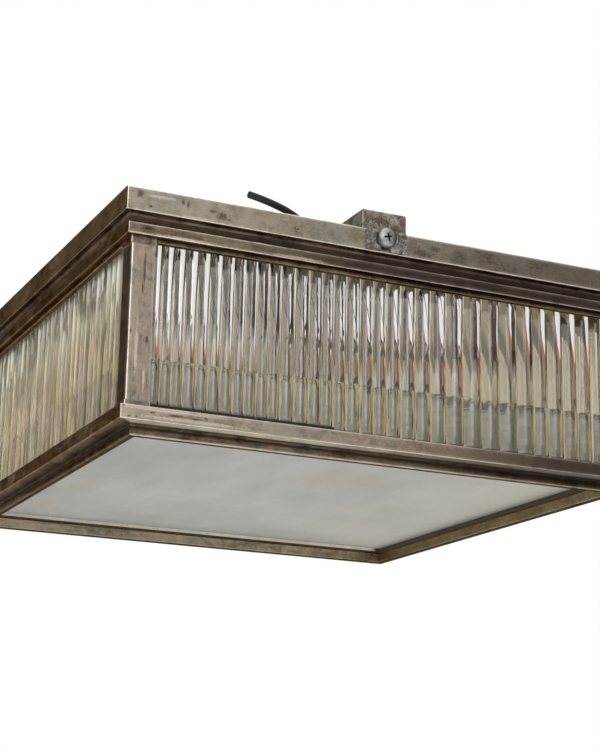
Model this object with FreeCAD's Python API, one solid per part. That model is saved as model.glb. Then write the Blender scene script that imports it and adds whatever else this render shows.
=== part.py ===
import FreeCAD, Part
import math
import os

V = FreeCAD.Vector

# ---------------------------------------------------------------------------
# Square lantern that hangs flush under a ceiling: a moulded metal frame with
# walls of touching glass rods, a frosted pane below and a crossbar on top.
#
# Frame: origin in the middle of the crossbar's top face, which lies against
# the ceiling; +Z up, front towards -Y, left towards -X.  Millimetres.
#
# Sections are drawn in (u, z): u is the distance inwards from the outer face
# of the lower band, z the height above that band's lower edge.  Everything is
# drawn about the frame's own middle and moved to the origin when it is saved,
# because the crossbar sits a little left of the middle.
# ---------------------------------------------------------------------------

# overall
SIDE = 340.0            # outer side of the lower band
HALF = SIDE / 2.0
TOP_Z = 131.4           # top of the frame above the lower band's lower edge
BAR_RISE = 11.8         # crossbar's height above the frame
Z0 = -(TOP_Z + BAR_RISE)    # lower band's lower edge in the part's frame

# top mouldings
BAND_OUT = 2.5          # how far the top band stands out
BAND_LOW = 117.5        # top band's lower edge
COVE_LOW = 111.7        # lower end of the cove
FILLET_LOW = 105.0      # lower edge of the second band
BEAD_LOW = 102.0        # lower edge of the thin bead
RAIL_IN = 6.0           # inner face of the top mouldings
BAND_CORNER_R = 1.2

# bottom mouldings
LOW_BAND_H = 7.7
ARRIS = 0.4             # the lower band's arris hangs this far below its flange
LOW_BAND_IN = 7.0
FLANGE_IN = 12.9
FLANGE_T = 1.3
LIP_IN = 13.6
LIP_OUT = 9.6
LIP_DEPTH = 7.15

# pane and its bedding
PANE_T = 4.0
PANE_Z = 4.25
PANE_EDGE = 8.2

# posts
POST_OUT = 3.9
POST_LEG = 14.2
POST_T = 1.6
FOOT_H = 3.1
CAP_H = 4.3

# rods
ROD_LINE = 13.5         # u of the rods' centre line
ROD_START = 19.4        # first rod's edge, from the outer corner
CORNER_ROD_R = 4.85     # one more rod behind each post, in the front and back rows
ROD_GAP = 0.12
ROD_TOP = 114.0
ROD_BASE = 10.0
SHORT_BASE = 11.6       # the first rods of the front stand on thicker packing
SHORT_TO = 132.0
SEAT_T = 0.8
SEAT_Z = 8.6
SEAT_IN = 20.8
SEAT_HIGH = 41.5        # the seats' inner leg stands behind the rods
SEAT_SLOPE = (39.4, 43.6)   # the front one's top edge runs from left to right
KEEP_Z = 114.2
KEEP_T = 0.8

# crossbar and its screws
BAR_X = -11.8           # the crossbar's middle, left of the frame's middle
BAR_W = 29.3
BAR_T = 2.0
BAR_SET_BACK = 0.6      # the bar's end face, behind the top band's outer face
FOOT_W = 26.0           # feet that reach down inside the top rails
FOOT_T = 4.0
FOOT_LOW = 119.0
PLATE_W = 26.8          # slotted plates outside the top rails
PLATE_T = 1.5
PLATE_LOW = 117.9
PLATE_HIGH = 131.0
PLATE_AT = 0.7          # the front plate's middle from the bar's middle
SCREW_Z = 126.2
SCREW_R = 2.95
SCREW_HEAD_R = 6.5
SCREW_HEAD_H = 3.8
HOLE_PITCH = 50.8       # ceiling screw holes
HOLE_R = 2.25
ENTRY_R = 6.0

# lamps
LAMP_XY = 80.0
STRAP_W = 20.0
STRAP_T = 2.0
STRAP_L = 210.0
HOLDER_R = 19.0
HOLDER_L = 45.0
BULB_R = 22.5
CAP_R = 13.1

# supply lead
LEAD_D = 4.2

os.makedirs("parts", exist_ok=True)
made = {}


def save(name, shape):
    shape = shape.copy()
    shape.translate(V(-BAR_X, 0, Z0))
    shape.exportStep("parts/%s.step" % name)
    made[name] = shape
    print("%-22s solids %3d  volume %10.1f  valid %s" % (name, len(shape.Solids), shape.Volume, shape.isValid()))


def group(shapes):
    return Part.makeCompound([s for s in shapes])


def box(x0, y0, z0, x1, y1, z1):
    return Part.makeBox(x1 - x0, y1 - y0, z1 - z0, V(x0, y0, z0))


def cyl(r, z0, z1, x=0.0, y=0.0):
    return Part.makeCylinder(r, z1 - z0, V(x, y, z0))


def cyl_y(r, x, z, y0, y1):
    return Part.makeCylinder(r, y1 - y0, V(x, y0, z), V(0, 1, 0))


def fuse(shapes):
    out = shapes[0]
    for s in shapes[1:]:
        out = out.fuse(s)
    return out.removeSplitter()


def outline(points):
    """Closed wire in the (u, z) plane.  A point is (u, z), (u, z, r) for a rounded corner, or ('arc', (u, z), (u, z))
    for an arc from the point before it, through the first and to the second."""
    flat = []
    for p in points:
        if p[0] == "arc":
            flat.append((p[2][0], p[2][1], 0.0, p[1]))
        else:
            flat.append((p[0], p[1], p[2] if len(p) > 2 else 0.0, None))
    n = len(flat)
    starts, ends = [], []
    for i in range(n):
        a, b, c = flat[i - 1], flat[i], flat[(i + 1) % n]
        if b[2] > 0:
            v1 = V(a[0] - b[0], a[1] - b[1], 0)
            v2 = V(c[0] - b[0], c[1] - b[1], 0)
            v1.normalize()
            v2.normalize()
            half = v1.getAngle(v2) / 2.0
            d = b[2] / math.tan(half)
            p = V(b[0], b[1], 0)
            s, e = p + v1 * d, p + v2 * d
            mid_dir = (v1 + v2)
            mid_dir.normalize()
            m = p + mid_dir * (b[2] / math.sin(half) - b[2])
            starts.append(s)
            ends.append((e, m))
        else:
            starts.append(V(b[0], b[1], 0))
            ends.append((V(b[0], b[1], 0), None))
    edges = []
    for i in range(n):
        nxt = (i + 1) % n
        if ends[i][1] is not None:
            edges.append(Part.Arc(starts[i], ends[i][1], ends[i][0]).toShape())
        p0, p1 = ends[i][0], starts[nxt]
        if flat[nxt][3] is not None:
            q = flat[nxt][3]
            edges.append(Part.Arc(p0, V(q[0], q[1], 0), p1).toShape())
        elif (p1 - p0).Length > 1e-6:
            edges.append(Part.LineSegment(p0, p1).toShape())
    return Part.Wire(edges)


def front_strip(points, mitre=0.0, corner_r=0.0, out=0.0):
    """The front one of four mitred strips with this section; mitre is a gap left at each joint."""
    face = Part.Face(outline(points))
    # (u, z) to (y, z): u runs along +Y from the front, the section is extruded along X
    m = FreeCAD.Matrix(0, 0, 1, -HALF - 12, 1, 0, 0, -HALF, 0, 1, 0, 0, 0, 0, 0, 1)
    face = face.transformGeometry(m)
    strip = face.extrude(V(SIDE + 24, 0, 0))
    b = HALF + 20
    wedge = Part.Face(Part.makePolygon([V(-b + mitre, -b, -50), V(b - mitre, -b, -50), V(0, -mitre, -50), V(-b + mitre, -b, -50)])).extrude(V(0, 0, 300))
    strip = strip.common(wedge)
    if corner_r > 0:
        h = HALF + out
        block = box(-h, -h, -50, h, h, 250)
        block = block.makeFillet(corner_r, [e for e in block.Edges if abs(e.Vertexes[0].X - e.Vertexes[1].X) < 1e-6 and abs(e.Vertexes[0].Y - e.Vertexes[1].Y) < 1e-6])
        strip = strip.common(block)
    return Part.Solid(strip.Solids[0]) if len(strip.Solids) == 1 else strip


SIDES = (("front", 0.0), ("right", 90.0), ("back", 180.0), ("left", 270.0))


def turned(shape, angle):
    s = shape.copy()
    s.rotate(V(0, 0, 0), V(0, 0, 1), angle)
    return s


# ---------------------------------------------------------------------------
# top mouldings
# ---------------------------------------------------------------------------
top = front_strip(
    [(-BAND_OUT, BAND_LOW, 0.6), (-BAND_OUT, TOP_Z, 0.9), (RAIL_IN, TOP_Z, 0.4), (RAIL_IN, COVE_LOW), (0.5, COVE_LOW),
     ("arc", (3.3, 115.4), (-0.9, BAND_LOW))],
    corner_r=BAND_CORNER_R, out=BAND_OUT)

BRACKET_LEG = 26.0
BRACKET_T = 1.5
BRACKET_SCREW_AT = 20.0         # from the outer corner
BRACKET_SCREW_Z = 121.0


def bracket_screw_holes():
    out = []
    for sx in (-1, 1):
        x = sx * (HALF - BRACKET_SCREW_AT)
        out.append(cyl_y(1.5, x, BRACKET_SCREW_Z, -HALF + 1.8, -HALF + RAIL_IN + 0.5))
    return out


for h in bracket_screw_holes():
    top = top.cut(h)
for side, angle in SIDES:
    rail = top.copy()
    if side in ("front", "back"):
        x = BAR_X if side == "front" else -BAR_X
        rail = rail.cut(cyl_y(3.3, x, SCREW_Z, -HALF - 5, -HALF + RAIL_IN + 1))
    save("top_rail_" + side, turned(rail, angle))

fillet = front_strip([(0, FILLET_LOW, 0.5), (0, COVE_LOW, 0.6), (RAIL_IN, COVE_LOW), (RAIL_IN, FILLET_LOW)], corner_r=1.0, out=0.0)
# the bead under it runs between the posts' caps
bead = front_strip([(RAIL_IN, FILLET_LOW), (RAIL_IN, BEAD_LOW), (3.5, BEAD_LOW), ("arc", (2.4, (BEAD_LOW + FILLET_LOW) / 2), (3.5, FILLET_LOW))])
bead_end = HALF - (POST_OUT - 0.7) - (POST_LEG + 1.0) - 0.05
bead = bead.common(box(-bead_end, -HALF - 5, 90, bead_end, -HALF + 20, 120))
fillet = fillet.fuse(bead).removeSplitter()
for side, angle in SIDES:
    save("fillet_rail_" + side, turned(fillet, angle))

# ---------------------------------------------------------------------------
# corner posts, with a foot and a cap each
# ---------------------------------------------------------------------------
POST_LOW = LOW_BAND_H + FOOT_H
POST_HIGH = FILLET_LOW - CAP_H


def angle_at_corner(u0, u1, leg, z0, z1, r=0.0):
    """L section at the front left corner, outside at u0, with legs to u0 + leg."""
    a = -HALF + u0
    b = -HALF + u1
    c = -HALF + u0 + leg
    pts = [V(a, a, z0), V(c, a, z0), V(c, b, z0), V(b, b, z0), V(b, c, z0), V(a, c, z0), V(a, a, z0)]
    s = Part.Face(Part.makePolygon(pts)).extrude(V(0, 0, z1 - z0))
    if r > 0:
        edge = [e for e in s.Edges if abs(e.Vertexes[0].X - a) < 1e-6 and abs(e.Vertexes[0].Y - a) < 1e-6 and abs(e.Vertexes[1].X - a) < 1e-6 and abs(e.Vertexes[1].Y - a) < 1e-6]
        s = s.makeFillet(r, edge)
    return s


CORNERS = (("front_left", 0.0), ("front_right", 90.0), ("back_right", 180.0), ("back_left", 270.0))
post = angle_at_corner(POST_OUT, POST_OUT + POST_T, POST_LEG, POST_LOW, POST_HIGH, 0.7)
for name, angle in CORNERS:
    save("corner_post_" + name, turned(post, angle))
foot = angle_at_corner(POST_OUT - 0.7, 7.2, POST_LEG + 1.0, LOW_BAND_H, POST_LOW, 0.5)
save("post_feet", group([turned(foot, a) for n, a in CORNERS]))
cap = angle_at_corner(POST_OUT - 0.7, RAIL_IN, POST_LEG + 1.0, POST_HIGH, FILLET_LOW, 0.5)
save("post_caps", group([turned(cap, a) for n, a in CORNERS]))

# ---------------------------------------------------------------------------
# bottom mouldings
# ---------------------------------------------------------------------------
low = front_strip(
    [(0, -ARRIS, 0.35), (0, LOW_BAND_H, 0.5), (LOW_BAND_IN, LOW_BAND_H, 0.4), (LOW_BAND_IN, FLANGE_T), (FLANGE_IN, FLANGE_T), (FLANGE_IN, 0), (1.4, 0), (1.4, -ARRIS)],
    corner_r=1.0, out=0.0)
for side, angle in SIDES:
    save("bottom_rail_" + side, turned(low, angle))

lip = front_strip(
    [(LIP_OUT + 0.2, 0), (LIP_IN, 0), (LIP_IN, -LIP_DEPTH, 0.6), (LIP_OUT + 0.6, -LIP_DEPTH),
     ("arc", (LIP_OUT - 0.3, -5.1), (LIP_OUT + 0.4, -3.2)), (LIP_OUT + 1.4, -3.1), (LIP_OUT + 1.4, -2.0), (LIP_OUT + 0.2, -1.8)])
for side, angle in SIDES:
    save("lip_moulding_" + side, turned(lip, angle))

# ---------------------------------------------------------------------------
# frosted pane on its bedding
# ---------------------------------------------------------------------------
h = HALF - PANE_EDGE
pane = box(-h, -h, PANE_Z, h, h, PANE_Z + PANE_T)
pane = pane.makeChamfer(0.5, [e for e in pane.Edges if abs(e.Vertexes[0].Z - e.Vertexes[1].Z) < 1e-6])
save("frosted_pane", pane)
bed = front_strip([(PANE_EDGE + 0.3, FLANGE_T), (LIP_IN - 0.3, FLANGE_T), (LIP_IN - 0.3, PANE_Z), (PANE_EDGE + 0.3, PANE_Z)])
save("pane_bedding", group([turned(bed, a) for n, a in SIDES]))

# ---------------------------------------------------------------------------
# rods, seats, keeps and packing
# ---------------------------------------------------------------------------
def seat_strip(high):
    return front_strip([(7.2, SEAT_Z), (SEAT_IN, SEAT_Z), (SEAT_IN, high), (SEAT_IN - SEAT_T, high), (SEAT_IN - SEAT_T, SEAT_Z + SEAT_T), (7.2, SEAT_Z + SEAT_T)])


seat = seat_strip(SEAT_HIGH)
sloped = Part.Face(Part.makePolygon([V(-HALF, -HALF, SEAT_SLOPE[0]), V(HALF, -HALF, SEAT_SLOPE[1]), V(HALF, -HALF, 60), V(-HALF, -HALF, 60), V(-HALF, -HALF, SEAT_SLOPE[0])])).extrude(V(0, 40, 0))
front_seat = seat_strip(SEAT_SLOPE[1]).cut(sloped)
save("rod_seats", group([front_seat if n == "front" else turned(seat, a) for n, a in SIDES]))
keep = front_strip([(RAIL_IN, KEEP_Z), (20.4, KEEP_Z), (20.4, 111.4), (21.2, 111.4), (21.2, KEEP_Z + KEEP_T), (RAIL_IN, KEEP_Z + KEEP_T)])
save("rod_keeps", group([turned(keep, a) for n, a in SIDES]))

ROD_DIAMETERS = {
    "front": (6.9, 6.4, 6.6, 7.4, 7.1, 7.3, 7.3, 7.0, 7.1, 7.2, 7.2, 8.4, 9.0, 8.1, 7.3, 8.0, 8.7, 8.7, 8.5, 9.0, 9.8, 9.9, 10.4, 11.6, 12.3,
              12.4, 12.3, 11.3, 10.2, 10.4, 10.2, 9.9, 9.8),
    "right": (9.6, 8.8, 8.1, 8.6, 9.4, 10.2, 9.1, 8.0, 7.6, 8.4, 9.0, 9.8, 10.6, 9.9, 8.7, 8.2, 7.9, 8.8, 9.5, 10.1, 9.3, 8.5, 8.0, 8.9, 9.7,
              10.4, 9.6, 8.6, 8.1, 9.0, 9.8, 9.2, 8.7),
    "back": (8.4, 9.1, 9.9, 8.8, 7.9, 8.3, 9.2, 10.3, 9.7, 8.6, 8.1, 7.7, 8.9, 9.6, 10.0, 9.1, 8.3, 8.7, 9.4, 10.5, 9.8, 8.9, 8.0, 8.5, 9.3,
             9.9, 8.8, 8.2, 9.0, 9.7, 9.3, 8.8, 9.5),
    "left": (8.9, 9.5, 8.3, 9.0, 9.8, 8.7, 9.3, 8.5, 9.1, 9.9, 8.8, 9.4, 8.6, 9.2, 9.7, 8.9, 9.0, 9.6, 8.4, 9.3, 9.9, 8.7, 9.1, 8.8, 9.5,
             9.2, 8.6, 9.7, 9.0, 8.9, 9.4, 8.8, 9.3),
}
SPAN = SIDE - 2 * ROD_START


def rod_places(side):
    d = ROD_DIAMETERS[side]
    k = (SPAN - ROD_GAP * (len(d) - 1)) / sum(d)
    out, at = [], ROD_START
    for v in d:
        out.append((at + v * k / 2.0, v * k / 2.0))
        at += v * k + ROD_GAP
    return out


packing = []
for side, angle in SIDES:
    rods = []
    split = None
    for c, r in rod_places(side):
        base = SHORT_BASE if side == "front" and c < SHORT_TO else ROD_BASE
        if side == "front" and c >= SHORT_TO and split is None:
            split = c - r - ROD_GAP / 2
        rod = Part.makeCylinder(r, ROD_TOP - base, V(-HALF + c, -HALF + ROD_LINE, base))
        rod = rod.makeChamfer(0.35, [e for e in rod.Edges if e.Closed and isinstance(e.Curve, Part.Circle)])
        rods.append(rod)
    if side in ("front", "back"):
        for sx in (-1, 1):
            c = sx * (HALF - ROD_START + ROD_GAP + CORNER_ROD_R)
            base = SHORT_BASE if side == "front" and sx < 0 else ROD_BASE
            rod = Part.makeCylinder(CORNER_ROD_R, ROD_TOP - base, V(c, -HALF + ROD_LINE, base))
            rods.append(rod.makeChamfer(0.35, [e for e in rod.Edges if e.Closed and isinstance(e.Curve, Part.Circle)]))
    save("glass_rods_" + side, turned(group(rods), angle))
    y0, y1 = -HALF + 10.0, -HALF + 17.5
    z = SEAT_Z + SEAT_T
    end = ROD_START if side in ("left", "right") else 10.0
    if split is None:
        packing.append(turned(box(-HALF + end, y0, z, HALF - end, y1, ROD_BASE), angle))
    else:
        packing.append(box(-HALF + end, y0, z, -HALF + split, y1, SHORT_BASE))
        packing.append(box(-HALF + split, y0, z, HALF - end, y1, ROD_BASE))
save("rod_packing", group(packing))

# ---------------------------------------------------------------------------
# corner brackets inside the top, with their screws
# ---------------------------------------------------------------------------
bracket = angle_at_corner(RAIL_IN, RAIL_IN + BRACKET_T, BRACKET_LEG, 115.6, 129.0)
b_holes = [cyl_y(1.6, -HALF + BRACKET_SCREW_AT, BRACKET_SCREW_Z, -HALF + 4, -HALF + 10),
           Part.makeCylinder(1.6, 6, V(-HALF + 4, -HALF + BRACKET_SCREW_AT, BRACKET_SCREW_Z), V(1, 0, 0))]
for hcut in b_holes:
    bracket = bracket.cut(hcut)
save("corner_brackets", group([turned(bracket, a) for n, a in CORNERS]))


def small_screw(x, y, z, axis, r, length, head_r, head_h):
    """Pan-head screw: the head's underside is at (x, y, z) and axis points out of the head."""
    d = V(*axis)
    p = V(x, y, z)
    head = Part.makeCylinder(head_r, head_h, p, d)
    head = head.makeFillet(head_h * 0.55, [e for e in head.Edges if e.Closed and (e.Curve.Center - (p + d * head_h)).Length < 1e-6])
    shank = Part.makeCylinder(r, length, p - d * length, d)
    slot = Part.makeBox(head_r * 2.4, 0.8, 0.9)
    slot.translate(V(-head_r * 1.2, -0.4, -0.6))
    slot.Placement = FreeCAD.Placement(p + d * head_h, FreeCAD.Rotation(V(0, 0, 1), d)).multiply(slot.Placement)
    return head.fuse(shank).cut(slot)


screws = []
for n, a in CORNERS:
    s1 = small_screw(-HALF + BRACKET_SCREW_AT, -HALF + RAIL_IN + BRACKET_T, BRACKET_SCREW_Z, (0, 1, 0), 1.42, 5.2, 2.8, 1.8)
    s2 = small_screw(-HALF + RAIL_IN + BRACKET_T, -HALF + BRACKET_SCREW_AT, BRACKET_SCREW_Z, (1, 0, 0), 1.42, 5.2, 2.8, 1.8)
    screws += [turned(s1, a), turned(s2, a)]
save("bracket_screws", group(screws))

# ---------------------------------------------------------------------------
# crossbar: a channel closed at its ends, with a foot inside each top rail and
# a slotted plate outside it; one screw goes through the three
# ---------------------------------------------------------------------------
CEIL = TOP_Z + BAR_RISE
yo = HALF + BAND_OUT            # the top band's outer face
ye = yo - BAR_SET_BACK
hw = BAR_W / 2
web = box(-hw, -ye, CEIL - BAR_T, hw, ye, CEIL)
fl1 = box(-hw, -ye, TOP_Z, -hw + BAR_T, ye, CEIL - BAR_T + 0.5)
fl2 = box(hw - BAR_T, -ye, TOP_Z, hw, ye, CEIL - BAR_T + 0.5)
end1 = box(-hw + 0.5, -ye, TOP_Z, hw - 0.5, -ye + BAR_T, CEIL - BAR_T + 0.5)
end2 = box(-hw + 0.5, ye - BAR_T, TOP_Z, hw - 0.5, ye, CEIL - BAR_T + 0.5)
bar = fuse([web, fl1, fl2, end1, end2])
bar = bar.makeFillet(1.0, [e for e in bar.Edges if abs(abs(e.CenterOfMass.x) - hw) < 1e-6 and abs(e.CenterOfMass.z - CEIL) < 1e-6 and e.Length > 100])
bar = bar.makeFillet(0.6, [e for e in bar.Edges if abs(abs(e.CenterOfMass.y) - ye) < 1e-6 and abs(e.CenterOfMass.z - CEIL) < 1e-6 and abs(e.CenterOfMass.x) < 1])
feet = []
for s in (-1, 1):
    y0, y1 = sorted((s * (HALF - RAIL_IN), s * (HALF - RAIL_IN - FOOT_T)))
    f = box(-FOOT_W / 2, y0, FOOT_LOW, FOOT_W / 2, y1, CEIL - BAR_T + 0.5)
    f = f.makeFillet(3.0, [e for e in f.Edges if abs(e.CenterOfMass.z - FOOT_LOW) < 1e-6 and abs(abs(e.CenterOfMass.x) - FOOT_W / 2) < 1e-6])
    feet.append(f.cut(cyl_y(3.0, 0, SCREW_Z, y0 - 1, y1 + 1)))
bar = fuse([bar] + feet)
for x, y, r in ((0, 0, ENTRY_R), (0, HOLE_PITCH / 2, HOLE_R), (0, -HOLE_PITCH / 2, HOLE_R), (0, LAMP_XY, 2.1), (0, -LAMP_XY, 2.1), (0, -50, 2.1)):
    bar = bar.cut(cyl(r, CEIL - BAR_T - 1, CEIL + 1, x, y))
bar.translate(V(BAR_X, 0, 0))
save("crossbar", bar)

plates = []
for s in (-1, 1):
    y0, y1 = sorted((s * yo, s * (yo + PLATE_T)))
    c = BAR_X - s * PLATE_AT
    p = box(c - PLATE_W / 2, y0, PLATE_LOW, c + PLATE_W / 2, y1, PLATE_HIGH)
    p = p.makeFillet(1.2, [e for e in p.Edges if abs(abs(e.CenterOfMass.x - c) - PLATE_W / 2) < 1e-6 and abs(e.CenterOfMass.y - (y0 + y1) / 2) < 1e-6])
    p = p.cut(cyl_y(3.3, BAR_X, SCREW_Z, y0 - 1, y1 + 1)).cut(box(BAR_X - 3.1, y0 - 1, PLATE_LOW - 1, BAR_X + 3.1, y1 + 1, SCREW_Z))
    plates.append(p)
save("slotted_plates", group(plates))


def fixing_screw(s):
    y = s * (yo + PLATE_T + 0.05)
    d = V(0, s, 0)
    p = V(BAR_X, y, SCREW_Z)
    # thick rim below a shallow dome
    prof = Part.Face(Part.Wire([
        Part.LineSegment(V(0, 0, 0), V(SCREW_HEAD_R - 0.3, 0, 0)).toShape(),
        Part.Arc(V(SCREW_HEAD_R - 0.3, 0, 0), V(SCREW_HEAD_R, 0, 0.9), V(SCREW_HEAD_R - 0.5, 0, 1.9)).toShape(),
        Part.Arc(V(SCREW_HEAD_R - 0.5, 0, 1.9), V(SCREW_HEAD_R * 0.58, 0, SCREW_HEAD_H - 0.55), V(0, 0, SCREW_HEAD_H)).toShape(),
        Part.LineSegment(V(0, 0, SCREW_HEAD_H), V(0, 0, 0)).toShape()]))
    head = prof.revolve(V(0, 0, 0), V(0, 0, 1), 360)
    wing = Part.Face(Part.makePolygon([V(-3.4, 0, SCREW_HEAD_H + 0.2), V(3.4, 0, SCREW_HEAD_H + 0.2), V(1.0, 0, 1.2), V(-1.0, 0, 1.2), V(-3.4, 0, SCREW_HEAD_H + 0.2)])).extrude(V(0, 1.15, 0))
    wing.translate(V(0, -0.575, 0))
    wing.rotate(V(0, 0, 0), V(0, 0, 1), 12)
    other = wing.copy()
    other.rotate(V(0, 0, 0), V(0, 0, 1), 90)
    head = head.cut(wing).cut(other)
    head.Placement = FreeCAD.Placement(p, FreeCAD.Rotation(V(0, 0, 1), d)).multiply(head.Placement)
    shank = Part.makeCylinder(SCREW_R, 16.0, p - d * 16.0, d)
    shank = shank.makeChamfer(0.6, [e for e in shank.Edges if e.Closed and (e.Curve.Center - (p - d * 16.0)).Length < 1e-6])
    return head.fuse(shank)


save("fixing_screw_front", fixing_screw(-1))
save("fixing_screw_back", fixing_screw(1))

# ---------------------------------------------------------------------------
# lamp straps, lampholders and lamps
# ---------------------------------------------------------------------------
STRAP_HIGH = TOP_Z
STRAP_LOW = TOP_Z - STRAP_T
straps, spacers, bolts, nuts = [], [], [], []
for s in (-1, 1):
    y = s * LAMP_XY
    st = box(-STRAP_L / 2, y - STRAP_W / 2, STRAP_LOW, STRAP_L / 2, y + STRAP_W / 2, STRAP_HIGH)
    st = st.makeFillet(8.0, [e for e in st.Edges if abs(e.Vertexes[0].Z - e.Vertexes[1].Z) > 1.0])
    for x in (-LAMP_XY, LAMP_XY):
        st = st.cut(cyl(5.05, STRAP_LOW - 1, STRAP_HIGH + 1, x, y))
    st = st.cut(cyl(2.1, STRAP_LOW - 1, STRAP_HIGH + 1, BAR_X, y))
    straps.append(st)
    sp = cyl(5.5, STRAP_HIGH, CEIL - BAR_T, BAR_X, y).cut(cyl(2.1, STRAP_HIGH - 1, CEIL, BAR_X, y))
    spacers.append(sp)
    bolts.append(small_screw(BAR_X, y, STRAP_LOW, (0, 0, -1), 2.0, STRAP_T + (CEIL - BAR_T - STRAP_HIGH) + BAR_T, 4.0, 2.4))
save("lamp_straps", group(straps))
save("strap_spacers", group(spacers))
save("strap_screws", group(bolts))


def hexagon(af, z0, z1, x, y, bore):
    pts = [V(x + af / math.sqrt(3) * math.cos(math.radians(60 * i + 30)), y + af / math.sqrt(3) * math.sin(math.radians(60 * i + 30)), z0) for i in range(7)]
    return Part.Face(Part.makePolygon(pts)).extrude(V(0, 0, z1 - z0)).cut(cyl(bore, z0 - 1, z1 + 1, x, y))


nipples, holder_nuts, holders, rings, glasses, caps = [], [], [], [], [], []
HOLDER_TOP = STRAP_LOW
HOLDER_LOW = HOLDER_TOP - HOLDER_L
for ly in (-LAMP_XY, LAMP_XY):
    for lx in (-LAMP_XY, LAMP_XY):
        nipples.append(cyl(4.95, HOLDER_TOP - 8, STRAP_HIGH + 4.5, lx, ly).cut(cyl(3.9, HOLDER_TOP - 9, STRAP_HIGH + 5.5, lx, ly)))
        holder_nuts.append(hexagon(14.0, STRAP_HIGH, STRAP_HIGH + 3.0, lx, ly, 4.95))
        # lampholder: a domed cap over a cylindrical skirt, open below
        t, b = HOLDER_TOP, HOLDER_LOW
        outer = Part.Face(Part.Wire([
            Part.LineSegment(V(0, 0, t), V(8.5, 0, t)).toShape(),
            Part.Arc(V(8.5, 0, t), V(15.6, 0, t - 5.4), V(HOLDER_R, 0, t - 14)).toShape(),
            Part.LineSegment(V(HOLDER_R, 0, t - 14), V(HOLDER_R, 0, t - 19)).toShape(),
            Part.LineSegment(V(HOLDER_R, 0, t - 19), V(17.2, 0, t - 20.2)).toShape(),
            Part.LineSegment(V(17.2, 0, t - 20.2), V(17.2, 0, b)).toShape(),
            Part.LineSegment(V(17.2, 0, b), V(14.2, 0, b)).toShape(),
            Part.LineSegment(V(14.2, 0, b), V(14.2, 0, b + 26.0)).toShape(),
            Part.LineSegment(V(14.2, 0, b + 26.0), V(0, 0, b + 26.0)).toShape(),
            Part.LineSegment(V(0, 0, b + 26.0), V(0, 0, t)).toShape()]))
        hs = outer.revolve(V(0, 0, 0), V(0, 0, 1), 360)
        hs = hs.cut(cyl(4.95, t - 8, t + 1))
        hs.translate(V(lx, ly, 0))
        holders.append(hs)
        ring = cyl(19.6, b + 6.0, b + 11.0).cut(cyl(17.2, b + 5.0, b + 12.0))
        ring = ring.makeFillet(1.0, [e for e in ring.Edges if e.Closed and isinstance(e.Curve, Part.Circle) and abs(e.Curve.Radius - 19.6) < 1e-6])
        ring.translate(V(lx, ly, 0))
        rings.append(ring)
        # lamp: metal cap in the holder and a round glass below
        c_top = b + 25.2
        c_low = b - 0.6
        capw = Part.Face(Part.Wire([
            Part.LineSegment(V(0, 0, c_top), V(4.5, 0, c_top)).toShape(),
            Part.LineSegment(V(4.5, 0, c_top), V(6.0, 0, c_top - 1.8)).toShape(),
            Part.LineSegment(V(6.0, 0, c_top - 1.8), V(11.4, 0, c_top - 4.2)).toShape(),
            Part.LineSegment(V(11.4, 0, c_top - 4.2), V(CAP_R, 0, c_top - 6.0)).toShape(),
            Part.LineSegment(V(CAP_R, 0, c_top - 6.0), V(CAP_R, 0, c_low)).toShape(),
            Part.LineSegment(V(CAP_R, 0, c_low), V(0, 0, c_low)).toShape(),
            Part.LineSegment(V(0, 0, c_low), V(0, 0, c_top)).toShape()])).revolve(V(0, 0, 0), V(0, 0, 1), 360)
        g_low = c_low - 47.0
        zc = g_low + BULB_R
        a0 = math.radians(52)
        pj = V(BULB_R * math.cos(a0), 0, zc + BULB_R * math.sin(a0))
        neck_r = 11.8
        am = (a0 - math.pi / 2) / 2
        pm = V(BULB_R * math.cos(am), 0, zc + BULB_R * math.sin(am))
        glw = Part.Face(Part.Wire([
            Part.LineSegment(V(0, 0, c_low), V(neck_r, 0, c_low)).toShape(),
            Part.LineSegment(V(neck_r, 0, c_low), pj).toShape(),
            Part.Arc(pj, pm, V(0, 0, g_low)).toShape(),
            Part.LineSegment(V(0, 0, g_low), V(0, 0, c_low)).toShape()])).revolve(V(0, 0, 0), V(0, 0, 1), 360)
        capw.translate(V(lx, ly, 0))
        glw.translate(V(lx, ly, 0))
        caps.append(capw)
        glasses.append(glw)
save("holder_nipples", group(nipples))
save("holder_nuts", group(holder_nuts))
save("lampholders", group(holders))
save("holder_rings", group(rings))
LAMPS = ("front_left", "front_right", "back_left", "back_right")
for i, n in enumerate(LAMPS):
    save("lamp_cap_" + n, caps[i])
    save("lamp_glass_" + n, glasses[i])

# ---------------------------------------------------------------------------
# wiring: terminal block under the crossbar, earth screw, lamp wires, lead
# ---------------------------------------------------------------------------
BLOCK_Y0, BLOCK_Y1 = 34.0, 62.0
BLOCK_LOW = 124.6
block = box(BAR_X - 9, BLOCK_Y0, BLOCK_LOW, BAR_X + 9, BLOCK_Y1, CEIL - BAR_T)
block = block.makeFillet(1.2, [e for e in block.Edges if abs(e.CenterOfMass.z - BLOCK_LOW) < 1e-6])
t_screws = []
for i in range(3):
    y = BLOCK_Y0 + 4.8 + 9.2 * i
    for x in (BAR_X - 4.4, BAR_X + 4.4):
        block = block.cut(cyl(2.0, BLOCK_LOW - 1, BLOCK_LOW + 4.0, x, y))
        ts = cyl(1.9, BLOCK_LOW + 1.2, BLOCK_LOW + 4.0, x, y)
        t_screws.append(ts.cut(box(x - 2.5, y - 0.3, BLOCK_LOW + 1.0, x + 2.5, y + 0.3, BLOCK_LOW + 1.9)))
save("terminal_block", block)
save("terminal_screws", group(t_screws))
earth = small_screw(BAR_X, -50, CEIL - BAR_T - 3.2, (0, 0, -1), 2.0, 3.2 + BAR_T, 3.8, 2.2)
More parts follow.
